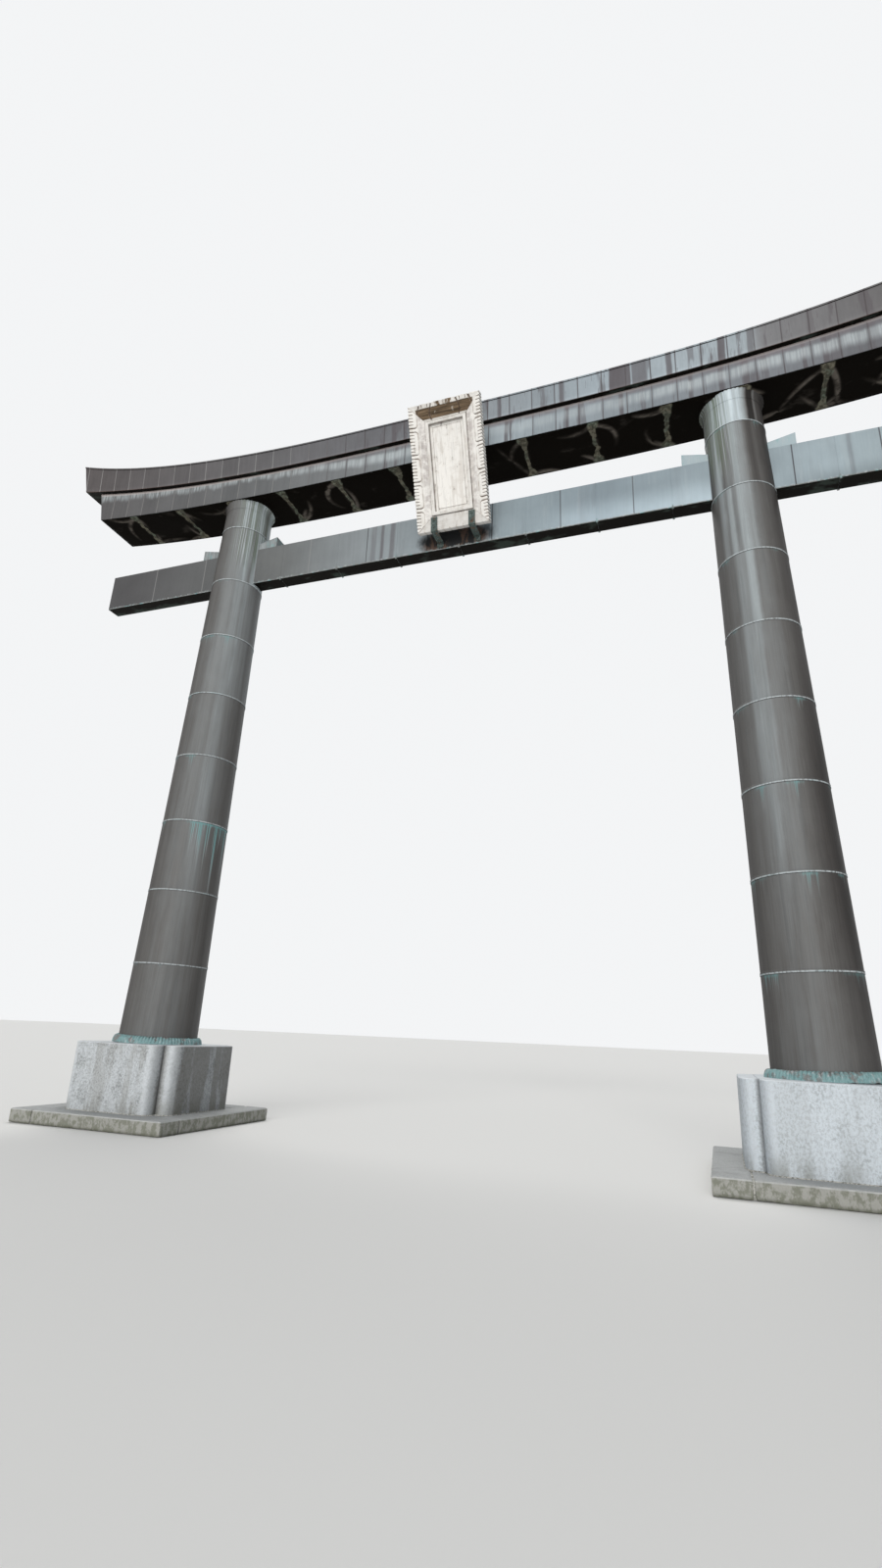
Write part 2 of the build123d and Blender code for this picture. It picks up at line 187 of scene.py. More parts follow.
class GateColours(bpy.types.PropertyGroup):
    """Colours of the finishes."""

    copper: colour("Copper", "Bare sheet under the salts", (0.225, 0.230, 0.226))
    # Deep copper is also the colour of the painted shadow under the column seams, and of the soot and
    # painted shadow under the board.
    deep_and_shade: colour("Deep copper", "Darkest patina", (0.045, 0.041, 0.040))
    violet: colour("Violet copper", "Violet-grey runs on the lintels", (0.105, 0.094, 0.102))
    pale: colour("Pale copper", "Blue-grey bloom of the roof", (0.330, 0.385, 0.420))
    bloom: colour("Bloom", "Whitish run-off", (0.520, 0.570, 0.590))
    verdigris: colour("Verdigris", "Blue-green salts", (0.168, 0.368, 0.375))
    moss_green: colour("Green run-off", "Dull green stains", (0.150, 0.185, 0.135))
    # the soffit colour is near-black partly as painted shade under the lintels
    soffit: colour("Soffit", "Sheet that the rain never washes", (0.005, 0.004, 0.003))
    ridge: colour("Soffit ridges", "Worn ridges of the crumpled soffit", (0.105, 0.092, 0.080))
    granite: colour("Granite", "Ground of the pedestal stone", (0.520, 0.548, 0.570))
    granite_dark: colour("Granite grain", "Dark grains of the pedestal stone", (0.110, 0.112, 0.112))
    kerb: colour("Kerb stone", "Ground of the plinth stone", (0.385, 0.395, 0.395))
    moss: colour("Moss", "Growth on the plinth", (0.125, 0.135, 0.085))
    paint: colour("White paint", "Worn white paint of the board", (0.850, 0.830, 0.795))
    timber: colour("Timber", "Bare timber of the board", (0.150, 0.105, 0.066))
    iron: colour("Iron", "Dark green-grey paint of the straps", (0.060, 0.082, 0.076))
    rust: colour("Rust", "Rust on the straps", (0.120, 0.070, 0.048))
    floor: colour("Floor", "Pale studio floor", (0.780, 0.780, 0.770))


class GateStage(bpy.types.PropertyGroup):
    """The camera and the lights."""

    eye: FloatVectorProperty(
        name="Eye", description="Place of the camera", default=(3.0977, -8.8376, 1.2382),
        subtype="TRANSLATION", size=3,
    )
    yaw: angle("Yaw", "Turn of the camera to the left", 20.197)
    pitch: angle("Pitch", "Upward tilt of the camera", 18.545)
    roll: angle("Roll", "Roll of the camera", 2.534)
    lens: amount("Lens", "Focal length in millimetres", 17.153)
    key: amount("Key light", "Strength of the light from the approach", 2.05)
    back: amount("Back light", "Strength of the light from behind left", 1.5)
    fill: amount("Fill light", "Strength of the light from all round", 0.34)


# Shader sums


def sum_of(operation, swapped=False):
    """A method that adds one Math node; swapped where the value comes after the number."""
    def add_node(value, *others):
        terms = (*others, value) if swapped else (value, *others)
        return value.finish.node("ShaderNodeMath", {"operation": operation}, dict(enumerate(terms)))

    return add_node


class Value:
    """A shader value that takes part in sums."""

    __add__ = sum_of("ADD")
    __radd__ = sum_of("ADD", swapped=True)
    __sub__ = sum_of("SUBTRACT")
    __rsub__ = sum_of("SUBTRACT", swapped=True)
    __mul__ = sum_of("MULTIPLY")
    __rmul__ = sum_of("MULTIPLY", swapped=True)
    __truediv__ = sum_of("DIVIDE")
    __rtruediv__ = sum_of("DIVIDE", swapped=True)
    __pow__ = sum_of("POWER")
    __abs__ = sum_of("ABSOLUTE")
    least = sum_of("MINIMUM")
    most = sum_of("MAXIMUM")
    fraction = sum_of("FRACT")
    floor = sum_of("FLOOR")
    cosine = sum_of("COSINE")
    arctangent = sum_of("ARCTAN2")

    def __init__(self, finish, socket):
        self.finish = finish
        self.socket = socket

    def ramp(self, low, high):
        """0 below low, 1 above high and smooth between; high may be the lower of the two."""
        settings = {"interpolation_type": "SMOOTHSTEP"}
        if isinstance(low, float) and isinstance(high, float) and high < low:
            return 1 - self.ramp(high, low)
        return self.finish.node("ShaderNodeMapRange", settings, {0: self, 1: low, 2: high})


class Nodes:
    """A node tree while it is written."""

    def __init__(self, tree):
        self.tree = tree

    def node(self, kind, settings, inputs, output=0):
        """Any node: its settings first, then the values or links of its sockets."""
        node = self.tree.nodes.new(kind)
        for name, value in settings.items():
            if name == "stops":
                self.set_stops(node.color_ramp, value)
            else:
                setattr(node, name, value)
        for key, value in inputs.items():
            self.join(value, node.inputs[key])
        return Value(self, node.outputs[output]) if node.outputs else None

    def join(self, value, socket):
        """Link a value to a socket, or set the socket to a number or a colour."""
        if isinstance(value, Value):
            self.tree.links.new(value.socket, socket)
        elif socket.type == "RGBA" and len(value) == 3:
            socket.default_value = (*value, 1)
        else:
            socket.default_value = value

    def set_stops(self, ramp, stops):
        """Give a ramp its stops in order of place; it starts with two."""
        stops = sorted(stops, key=lambda stop: stop[0])
        for place, shade in stops[1:-1]:
            ramp.elements.new(place)
        for element, (place, shade) in zip(ramp.elements, stops):
            element.position = place
            element.color = (*shade, 1)


class Finish(Nodes):
    """A procedural material while it is painted, one coat over another."""

    def __init__(self, name, roughness=0.5, metallic=0.0, gloss=0.5):
        self.material = bpy.data.materials.new(name)
        self.material.use_nodes = True
        super().__init__(self.material.node_tree)
        self.shader = self.tree.nodes["Principled BSDF"]
        self.shader.inputs["Roughness"].default_value = roughness
        self.shader.inputs["Metallic"].default_value = metallic
        self.shader.inputs["Specular IOR Level"].default_value = gloss
        self.x, self.y, self.z = self.axes(self.node("ShaderNodeTexCoord", {}, {}, output="Object"))
        self.colours = bpy.context.scene.gate_colours
        self.ground = None

    def axes(self, vector):
        """The three values of a vector."""
        split = self.tree.nodes.new("ShaderNodeSeparateXYZ")
        self.tree.links.new(vector.socket, split.inputs[0])
        return [Value(self, socket) for socket in split.outputs]

    def facing(self):
        """The way the surface faces, as three values."""
        return self.axes(self.node("ShaderNodeNewGeometry", {}, {}, output="Normal"))

    def attribute(self, name):
        """A value that the mesh holds at its points."""
        return self.node("ShaderNodeAttribute", {"attribute_name": name}, {}, output="Fac")

    def vector(self, x, y, z):
        return self.node("ShaderNodeCombineXYZ", {}, {0: x, 1: y, 2: z})

    def noise(self, vector, scale, detail, roughness, w=None):
        """Noise that follows a vector, and a fourth value where w is given."""
        settings = {"noise_dimensions": "4D" if w is not None else "3D"}
        inputs = {"Vector": vector, "Scale": scale, "Detail": detail, "Roughness": roughness}
        if w is not None:
            inputs["W"] = w
        return self.node("ShaderNodeTexNoise", settings, inputs)

    def grain(self, scale, detail, roughness, fineness=(1, 1, 1)):
        """Noise that is finer along an axis with a larger value."""
        axes = zip((self.x, self.y, self.z), fineness)
        return self.noise(self.vector(*[axis * factor for axis, factor in axes]), scale, detail, roughness)

    def dice(self, number):
        """A different value between 0 and 1 for each whole number."""
        return self.node("ShaderNodeTexWhiteNoise", {"noise_dimensions": "1D"}, {"W": number})

    def blend(self, under, over, share, kind="MIX"):
        """Two shades mixed: the first where the share is 0 and the second where it is 1."""
        settings = {"data_type": "RGBA", "blend_type": kind}
        return self.node("ShaderNodeMix", settings, {0: share, 6: under, 7: over}, output=2)

    def tint(self, shade, factor):
        """A shade made darker or lighter by a value."""
        return self.blend(shade, self.vector(factor, factor, factor), 1.0, "MULTIPLY")

    def coat(self, shade, share):
        """Paint a shade over the ground, as thickly as its share says."""
        self.ground = self.blend(self.ground, shade, share)

    def lighten(self, factor):
        """Make the ground lighter or darker by a value."""
        self.ground = self.tint(self.ground, factor)

    def shades(self, value, *stops):
        """Shades that change with a value between 0 and 1, given by their places."""
        return self.node("ShaderNodeValToRGB", {"stops": stops}, {0: value})

    def along(self, *stops):
        """Shades that change along the gate, each given by its x."""
        reach = 7.5
        places = [((place + reach) / (2 * reach), shade) for place, shade in stops]
        return self.shades((self.x + reach) / (2 * reach), *places)

    def runs(self, x, places, soft=0.012):
        """Upright runs at known places, given by their x, half width and strength.

        A ramp holds 32 stops and a run takes four, so seven runs share a ramp.
        """
        shared = 7
        parts = []
        for first in range(0, len(places), shared):
            group = places[first:first + shared]
            low = group[0][0] - group[0][1] - 3 * soft
            high = group[-1][0] + group[-1][1] + 3 * soft
            stops = [(low, 0.0), (high, 0.0)]
            for place, half, strength in group:
                stops += [(place - half - soft, 0.0), (place - half, strength)]
                stops += [(place + half, strength), (place + half + soft, 0.0)]
            steps = [((place - low) / (high - low), (strength,) * 3) for place, strength in stops]
            parts.append(self.shades((x - low) / (high - low), *steps) * 1.0)
        total = parts[0]
        for part in parts[1:]:
            total = total.most(part)
        return total

    def done(self, relief, distance, strength, roughness):
        """Join the ground, the surface relief and the roughness, and give the material."""
        bump = {"Strength": strength, "Distance": distance, "Height": relief}
        self.join(self.ground, self.shader.inputs["Base Color"])
        self.join(roughness, self.shader.inputs["Roughness"])
        self.join(self.node("ShaderNodeBump", {}, bump), self.shader.inputs["Normal"])
        return self.material


def scaled(shade, factor):
    """A colour with each channel times a factor."""
    return tuple(channel * factor for channel in shade)


# Finishes


# Stripes on the columns, the same behind as in front: bearing towards the passage and half width in degrees,
# how much lighter or darker, and how far up the shaft they start. They are partly streaks in the patina and
# partly painted sheen and painted shade. A stripe that starts 5 m up or higher does so at once, at a seam.
STRIPES = {
    -1: (
        (42, 10, 0.06, 1), (57, 4, 0.05, 4), (24, 14, 0.035, 5), (72, 24, 0.07, 5), (50, 4, 0.12, 7),
        (61, 3, -0.05, 7), (86, 16, 0.34, 7), (31, 4, 0.15, 8), (52, 5, 0.12, 8), (66, 7, 0.14, 8),
        (92, 10, -0.30, 8),
    ),
    1: (
        (-42, 26, -0.035, 0), (20, 5, 0.07, 1), (29, 5, 0.06, 2), (11, 5, 0.06, 2), (-42, 26, 0.025, 3),
        (9, 6, 0.11, 5), (29, 4, 0.09, 6), (44, 7, 0.09, 6), (20, 4, -0.05, 6), (-2, 8, 0.10, 6),
        (30, 5, -0.12, 7), (48, 10, 0.14, 7), (-22, 6, -0.05, 7), (6, 26, 0.20, 8), (38, 26, 0.10, 8),
        (33, 4, 0.12, 8), (-14, 8, 0.12, 8), (-31, 7, -0.10, 8), (-41, 3, 0.06, 8),
    ),
}
# The bearing of each column's painted sheen, its palest side, in the same degrees; its flanks are darker as
# painted shade.
SHEEN_BEARING = {-1: 32, 1: 14}


class ShaftFinish(Finish):
    """Satin copper with a painted sheen towards the approach and painted shade on its flanks, with run-off
    below the seams.
    """

    def __init__(self, name, side):
        super().__init__(name, metallic=0.08, gloss=0.05)
        sizes = bpy.context.scene.gate_sizes
        lean = side * sin(sizes.batter)
        out = self.x - side * sizes.foot_x
        up = self.z - PEDESTAL_TOP
        across = out * cos(sizes.batter) + up * lean
        radius = (across * across + self.y * self.y) ** 0.5
        start = sizes.first_course - sizes.course
        self.side = side
        self.level = up * cos(sizes.batter) - out * lean
        self.ring = (across / radius, self.y / radius)
        self.inner = self.ring[0] * -side
        self.course = ((self.level - start) / sizes.course).floor()
        self.above = self.level - start - self.course * sizes.course
        self.below = sizes.course - self.above
        self.fine = self.round_noise(0.03, 44.0, 3.0, self.course * 1.9)
        self.cloud = self.round_noise(1.1, 2.2, 4.0, self.course * 0.4)
        self.patch = self.round_noise(0.0, 1.6, 1.0, self.course * 7.7 + side)

    def round_noise(self, stretch, scale, detail, seed):
        """Noise round the shaft, stretched along it; each seed gives another one."""
        return self.noise(self.vector(*self.ring, self.level * stretch), scale, detail, 0.6, w=seed)

    def salts(self, factor, share):
        """Whitish salts; share is how much of them is green."""
        return self.blend(scaled(self.colours.bloom, factor), self.colours.verdigris, share)

    def base(self):
        """The sheets' ground, with a painted sheen and painted shade by the way they face, and stripes and
        streaks.
        """
        side, course, level = self.side, self.course, self.level
        steady = self.round_noise(0.05, 5.0, 4.0, 4.0 + side)
        own = self.round_noise(0.10, 9.0, 4.0, course * 3.7)
        bearing = self.inner.arctangent(abs(self.ring[1])) * degrees(1)
        bearing = bearing + (self.dice(course + side * 5.0) - 0.5) * 4.0 + (self.cloud - 0.5) * 6.0
        # painted sheen: paler towards the sheen bearing, and darker towards the flanks as painted shade
        ahead = ((bearing - SHEEN_BEARING[side]) * radians(1)).cosine()
        tone = 0.048 + ahead.most(0.0) ** (1.55 + side * 0.25) * (0.112 + level.ramp(1.0, 5.0) * 0.016)
        for place, half, change, start in STRIPES[side]:
            fade = 0.02 if start > 4 else 1.8
            shown = abs(bearing - place).ramp(half * 1.6, half * 0.3) * level.ramp(start, start + fade)
            tone = tone + shown * change
        streak = 1.0 + (steady + own - 1.0) * 0.55 + (self.fine + self.cloud - 1.0) * 0.35
        tone = (tone * streak).most(0.03) * (0.95 + self.dice(course + side * 11.0) * 0.10)
        self.ground = self.shades(
            tone,
            (0.0, (0.0, 0.0, 0.0)), (0.06, (0.063, 0.059, 0.057)), (0.12, (0.122, 0.119, 0.116)),
            (0.22, (0.211, 0.222, 0.226)), (0.36, (0.333, 0.368, 0.382)), (0.60, (0.540, 0.615, 0.655)),
            (1.0, (0.93, 1.0, 1.0)),
        )
        self.coat(self.tint(self.ground, 0.78), own.ramp(0.52, 0.62) * 0.6)

    def crown(self):
        """Green and whitish stripes on the passage side, under the lintel."""
        crown = self.level.ramp(7.1, 7.7) * self.inner.ramp(0.0, 0.6)
        stripes = self.round_noise(0.02, 24.0, 3.0, 8.0 + self.side)
        self.coat(self.colours.moss_green, crown * stripes.ramp(0.52, 0.45) * 0.75)
        self.coat(self.colours.bloom, crown * stripes.ramp(0.55, 0.61) * 0.6)

    def run_off(self):
        """Salts that hang from the seams; the left column has most of them under one seam."""
        drips = self.round_noise(0.0, 34.0, 2.0, self.course * 2.3 + self.side)
        drop = self.round_noise(0.0, 12.0, 2.0, self.course * 5.1 + self.side)
        weight = self.patch.ramp(0.52, 0.66) * 0.35
        if self.side < 0:
            weight = weight + abs(self.course - 2.0).ramp(0.6, 0.4) * self.inner.ramp(0.30, 0.75)
        reach = 0.04 + drop.ramp(0.40, 0.64) * weight * 0.85
        fade = (1.0 - self.below / reach).most(0.0)
        hung = fade * drips.ramp(0.49, 0.55) * weight.least(1.0)
        self.coat(self.salts(0.62, fade.ramp(0.25, 0.8) * 0.85), (hung * 1.5).least(0.75))
        self.coat(self.colours.verdigris, self.below.ramp(0.045, 0.012) * weight.least(1.0) * 0.6)

    def finished(self):
        """Paint all the coats, with the seams, a painted shadow under each seam and the rim at the head
        last, and give the material.
        """
        self.base()
        self.crown()
        self.run_off()
        speck = self.noise(self.vector(*[value * 9 for value in (*self.ring, self.level)]), 2.6, 3.0, 0.6)
        crust = 0.22 + speck.ramp(0.34, 0.56) * 0.62
        seam = self.above.ramp(0.020, 0.011) * self.level.ramp(0.5, 0.6) * crust
        self.coat(self.salts(0.95, self.patch.ramp(0.54, 0.66) * 0.2), seam)
        # painted shadow: a thin dark line just under each seam's hem
        self.coat(self.colours.deep_and_shade, self.below.ramp(0.010, 0.003) * 0.8)
        head = (BOXES["left_column_collar"][1].z - PEDESTAL_TOP) / cos(bpy.context.scene.gate_sizes.batter)
        worn_rim = (0.34, 0.31, 0.28)
        self.coat(worn_rim, self.level.ramp(head - 0.030, head - 0.012) * 0.7)
        roughness = 0.50 + (self.fine - 0.5) * 0.2 + (self.cloud - 0.5) * 0.3 + seam * 0.25
        relief = self.cloud + self.fine * 0.03 + speck * 0.02
        return self.done(relief, distance=0.016, strength=0.5, roughness=roughness)


class BeamFinish(Finish):
    """Upright sheets along a beam: brushed ground, dark runs and joints, and painted shade that makes it
    near-black underneath.
    """

    def __init__(self, name, sheet, stops, places, joints, streaks=1.0):
        super().__init__(name, metallic=0.05, gloss=0.05)
        along = self.x / sheet + 0.5
        self.joint = (0.5 - abs(along.fraction() - 0.5)) * sheet
        self.brush = self.grain(1.0, 4.0, 0.65, (26, 26, 0.9))
        self.cloud = self.grain(2.4, 3.0, 0.55)
        broad = self.grain(1.0, 4.0, 0.6, (4.6, 4.6, 0.5))
        tone = 0.93 + self.dice(along.floor()) * 0.14 + (self.cloud - 0.5) * 0.30
        self.ground = self.tint(self.along(*stops), tone + (self.brush - 0.5) * (0.18 + 0.22 * streaks))
        thin = self.brush.ramp(0.60, 0.67) * 0.55 + broad.ramp(0.55, 0.62) * 0.55
        wander = (self.grain(1.0, 2.0, 0.55, (3, 1, 3)) - 0.5) * 0.025
        dark = self.runs(self.x + wander, places) * (0.70 + broad * 0.6)
        self.coat(self.colours.violet, dark.most(thin * self.x.ramp(-2.5, -1.0) * streaks).least(0.95))
        self.coat(self.along(*joints), self.joint.ramp(0.0105, 0.0055) * (0.30 + broad).least(1.0))

    def level(self, node):
        """0 along a lintel's lower edge and 1 along its upper one; both rise with x cubed."""
        reach = BOXES[node][1].x - 1.0
        edges = []
        for edge_of in (underside_of, top_of):
            middle = edge_of(node, 0)
            growth = (edge_of(node, reach) - middle) / reach ** 3
            edges.append(abs(self.x) ** 3.0 * growth + middle)
        return (self.z - edges[0]) / (edges[1] - edges[0])

    def shaded(self):
        """Paint shade on it, near-black where it faces down, with a few green patches, and give the
        material.
        """
        patches = self.grain(1.6, 4.0, 0.6, (1.4, 3, 1))
        greenish = (0.030, 0.040, 0.034)
        dark = self.blend(self.colours.soffit, greenish, patches.ramp(0.53, 0.66))
        # painted shade: near-black wherever the surface faces down
        self.coat(dark, self.facing()[2].ramp(-0.6, -0.85))
        relief = self.cloud * 0.8 + self.brush * 0.06
        roughness = 0.56 + (self.brush - 0.5) * 0.2
        return self.done(relief, distance=0.012, strength=0.5, roughness=roughness)


# The broadest dark runs on each beam: x, half width and strength.
UPPER_LINTEL_RUNS = (
    (-1.00, 0.03, 0.7), (0.68, 0.02, 0.8), (1.60, 0.03, 0.8), (2.42, 0.14, 0.95), (2.68, 0.10, 0.7),
    (3.08, 0.03, 0.8), (3.76, 0.04, 0.9), (4.12, 0.03, 0.6), (4.85, 0.03, 0.4),
)
LOWER_LINTEL_RUNS = (
    (-0.98, 0.02, 0.7), (0.77, 0.02, 0.8), (1.66, 0.02, 0.8), (2.42, 0.02, 0.8), (3.34, 0.02, 0.7),
    (3.73, 0.03, 0.8), (4.03, 0.04, 0.8), (4.74, 0.02, 0.8), (4.99, 0.03, 0.8),
)
TIE_BEAM_RUNS = ((-1.39, 0.04, 0.4), (-1.25, 0.02, 0.7), (-1.08, 0.03, 0.6), (5.16, 0.02, 0.4))


def upper_lintel_finish(sheet):
    """The upper lintel and its roof: dull at the left, blue-grey with violet runs to the right."""
    stops = (
        (-7.0, (0.100, 0.091, 0.092)), (-3.2, (0.124, 0.122, 0.127)), (-1.3, (0.142, 0.144, 0.155)),
        (0.3, (0.238, 0.260, 0.280)), (2.0, (0.300, 0.345, 0.380)), (4.05, (0.345, 0.392, 0.423)),
        (4.25, (0.195, 0.196, 0.204)), (6.0, (0.125, 0.120, 0.122)),
    )
    joints = (
        (-7.5, (0.28, 0.27, 0.27)), (-3.0, (0.25, 0.25, 0.25)), (-1.8, (0.10, 0.09, 0.095)),
        (7.5, (0.10, 0.09, 0.095)),
    )
    finish = BeamFinish("upper_lintel_sheet", sheet, stops, UPPER_LINTEL_RUNS, joints)
    colours = finish.colours
    brown_hem = (0.150, 0.095, 0.080)
    level = finish.level("upper_lintel")
    finish.lighten(1.0 + level.ramp(0.20, 0.04) * 0.16)
    finish.coat(brown_hem, level.ramp(0.030, 0.010) * 0.6)
    slope = finish.grain(1.0, 4.0, 0.65, (30, 1.2, 1))
    green = finish.cloud.ramp(0.46, 0.62) * 0.5
    bleached = finish.blend(scaled(colours.pale, 0.72), scaled(colours.verdigris, 0.8), green)
    finish.coat(finish.tint(bleached, 0.7 + slope * 0.6), finish.facing()[2].ramp(0.3, 0.6))
    return finish.shaded()


def lower_lintel_finish(sheet):
    """The lower lintel: whitish run-off from under the upper one, in a patch on each sheet, and painted
    light along its top under the upper one's overhang.
    """
    stops = (
        (-6.8, (0.108, 0.105, 0.107)), (-3.6, (0.130, 0.134, 0.138)), (-1.6, (0.182, 0.192, 0.199)),
        (0.5, (0.330, 0.380, 0.412)), (2.6, (0.215, 0.242, 0.266)), (4.0, (0.205, 0.222, 0.242)),
        (5.6, (0.135, 0.137, 0.148)),
    )
    joints = (
        (-7.5, (0.24, 0.23, 0.23)), (-3.0, (0.24, 0.24, 0.24)), (-1.8, (0.10, 0.09, 0.095)),
        (7.5, (0.10, 0.09, 0.095)),
    )
    finish = BeamFinish("lower_lintel_sheet", sheet, stops, LOWER_LINTEL_RUNS, joints)
    painted_rim_light, brown_rim = (0.50, 0.46, 0.45), (0.34, 0.285, 0.27)
    level = finish.level("lower_lintel")
    right = finish.x.ramp(-3.6, -1.0)
    wave = finish.noise(finish.vector(finish.x * 5.0, finish.y, 0.0), 1.0, 2.0, 0.5)
    middle = 0.94 - right * 0.33 + (wave - 0.5) * (0.40 - right * 0.18)
    above = (level - middle) / (0.12 + right * 0.10)
    under = (middle - level) / (0.30 + right * 0.10)
    glow = (1.0 - above.most(under)).most(0.0).ramp(0.0, 0.80)
    strands = finish.grain(1.0, 3.0, 0.65, (30, 30, 0.9))
    steady = 0.25 + right * 0.35
    light = glow * (steady + strands.ramp(0.38, 0.62) * (1.0 - steady))
    light = light * (0.35 + finish.joint.ramp(0.010, 0.040) * 0.65)
    light = light * (0.62 - finish.x.ramp(0.0, 0.5) * 0.32 + finish.x.ramp(1.6, 3.6) * 0.34)
    finish.coat(finish.colours.bloom, light.least(0.85))
    grime = level.ramp(0.72, 0.88) * right * (0.30 + wave.ramp(0.42, 0.58) * 0.4)
    finish.coat(scaled(finish.colours.violet, 1.9), grime)
    # painted light: a pale band along the top, against the overhang's shadow
    finish.coat(painted_rim_light, level.ramp(0.88, 0.94) * (0.75 - right * 0.35))
    finish.coat(brown_rim, level.ramp(0.955, 0.975) * 0.75)
    return finish.shaded()


def tie_beam_finish(sheet):
    """The tie beam, with rust, soot and a painted shadow under the board and salts along its lower edge."""
    stops = (
        (-6.0, (0.088, 0.087, 0.090)), (-3.0, (0.158, 0.165, 0.166)), (-1.7, (0.255, 0.280, 0.294)),
        (0.9, (0.275, 0.330, 0.362)), (2.0, (0.210, 0.254, 0.284)), (4.9, (0.322, 0.384, 0.418)),
        (6.4, (0.275, 0.325, 0.345)),
    )
    joints = (
        (-7.5, (0.19, 0.19, 0.19)), (-2.6, (0.27, 0.27, 0.27)), (-1.8, (0.07, 0.07, 0.075)),
        (7.5, (0.09, 0.09, 0.10)),
    )
    finish = BeamFinish("tie_beam_sheet", sheet, stops, TIE_BEAM_RUNS, joints, streaks=0.15)
    colours, x = finish.colours, finish.x
    low, high = BOXES["tie_beam"]
    level = (finish.z - low.z) / (high.z - low.z)
    wash = 1.0 + level.ramp(0.70, 0.02) * x.ramp(0.9, 2.0) * x.ramp(4.6, 3.6) * 0.60
    finish.lighten(wash - level.ramp(0.35, 0.0) * x.ramp(4.2, 4.8) * 0.20)
    hang = finish.grain(1.0, 4.0, 0.6, (9, 9, 0.9))
    finish.coat(scaled(colours.bloom, 0.80), hang.ramp(0.54, 0.66) * x.ramp(-3.0, 0.0) * 0.15)
    soot = finish.grain(1.0, 4.0, 0.65, (7, 3, 3))
    # rust and soot under the board, darkened partly as a painted shadow of the board
    spread = (((x + 0.06) / 0.56) ** 2.0 + ((level - 0.20) / 0.42) ** 2.0) ** 0.5
    spread = spread + (soot - 0.5) * 0.6
    rust_soot_and_shade = finish.blend(scaled(colours.deep_and_shade, 0.28), colours.rust, soot.ramp(0.50, 0.62) * 0.8)
    finish.coat(rust_soot_and_shade, spread.ramp(1.15, 0.80) * finish.y.ramp(0.02, -0.02) * 0.95)
    salts = finish.grain(1.0, 3.0, 0.6, (24, 24, 2))
    finish.coat(colours.bloom, level.ramp(0.07, 0.01) * salts.ramp(0.46, 0.60) * 0.6)
    return finish.shaded()


def verdigris_finish(name, share):
    """Sheet with salts in its hollows; share is how much of it is green."""
    finish = Finish(name, metallic=0.05, gloss=0.2)
    colours = finish.colours
    coarse = finish.grain(9.0, 4.0, 0.6)
    grain = finish.grain(9.0, 4.0, 0.6, (5, 5, 1.5))
    salts = finish.blend(colours.verdigris, scaled(colours.bloom, 0.62), 0.35)
    finish.ground = finish.blend(scaled(colours.copper, 0.9), salts, coarse.ramp(0.60 - share, 0.72 - share))
    finish.coat(colours.bloom, grain.ramp(0.54, 0.66) * 0.55)
    finish.coat(scaled(colours.verdigris, 0.45), grain.ramp(0.44, 0.34) * 0.5)
    return finish.done(grain, distance=0.006, strength=0.5, roughness=0.6 + coarse * 0.2)


def wedge_finish():
    """Pale sheet, palest at the right of the gate, with whitish and green salts."""
    finish = Finish("wedge_sheet", metallic=0.05, gloss=0.15)
    coarse = finish.grain(5.0, 4.0, 0.6, (2, 2, 1))
    streak = finish.grain(1.0, 3.0, 0.6, (26, 26, 2))
    finish.ground = finish.along(
        (-7.5, (0.205, 0.215, 0.218)), (-2.8, (0.235, 0.255, 0.260)), (2.8, (0.36, 0.43, 0.46)),
        (7.5, (0.40, 0.50, 0.54)),
    )
    finish.coat(scaled(finish.colours.bloom, 0.85), streak.ramp(0.50, 0.66) * 0.4)
    finish.coat(scaled(finish.colours.verdigris, 1.1), coarse.ramp(0.52, 0.68) * 0.4)
    return finish.done(coarse, distance=0.006, strength=0.4, roughness=0.58 + (streak - 0.5) * 0.2)


def soffit_finish(sheet):
    """Nearly black sheet, partly painted shade, with worn ridges, patches of dust and painted sheen, and
    salts where its sheets meet.
    """
    finish = Finish("soffit_sheet", gloss=0.02)
    colours = finish.colours
    wander = (finish.grain(3.0, 2.0, 0.5, (1, 2, 1)) - 0.5) * 0.16
    joint = (0.5 - abs((finish.x / sheet + wander).fraction() - 0.5)) * sheet
    patch = finish.grain(2.4, 4.0, 0.6, (1, 1.6, 1))
    grit = finish.grain(16.0, 4.0, 0.65)
    # dusty patches: dust and a painted sheen on the dark sheet
    dusty = patch.ramp(0.58, 0.72) * 0.5
    finish.ground = finish.blend(colours.soffit, scaled(colours.ridge, 0.35), dusty)
    worn = finish.attribute("crease").ramp(0.05, 0.65) * (0.25 + patch.ramp(0.40, 0.56) * 0.8)
    finish.coat(scaled(colours.ridge, 1.2), (worn * (0.55 + grit * 0.7)).least(1.0))
    fan = 0.036 + abs(finish.y).ramp(0.14, 0.38) * 0.060
    buff, green, soot = (0.175, 0.165, 0.125), (0.140, 0.165, 0.130), (0.050, 0.045, 0.035)
    salts = finish.blend(buff, green, patch.ramp(0.44, 0.58))
    salts = finish.blend(salts, soot, grit.ramp(0.56, 0.46) * 0.7)
    finish.coat(salts, (1.0 - joint / fan).ramp(0.0, 0.40) * 0.9)
    return finish.done(grit, distance=0.004, strength=0.4, roughness=0.62 + grit * 0.2)


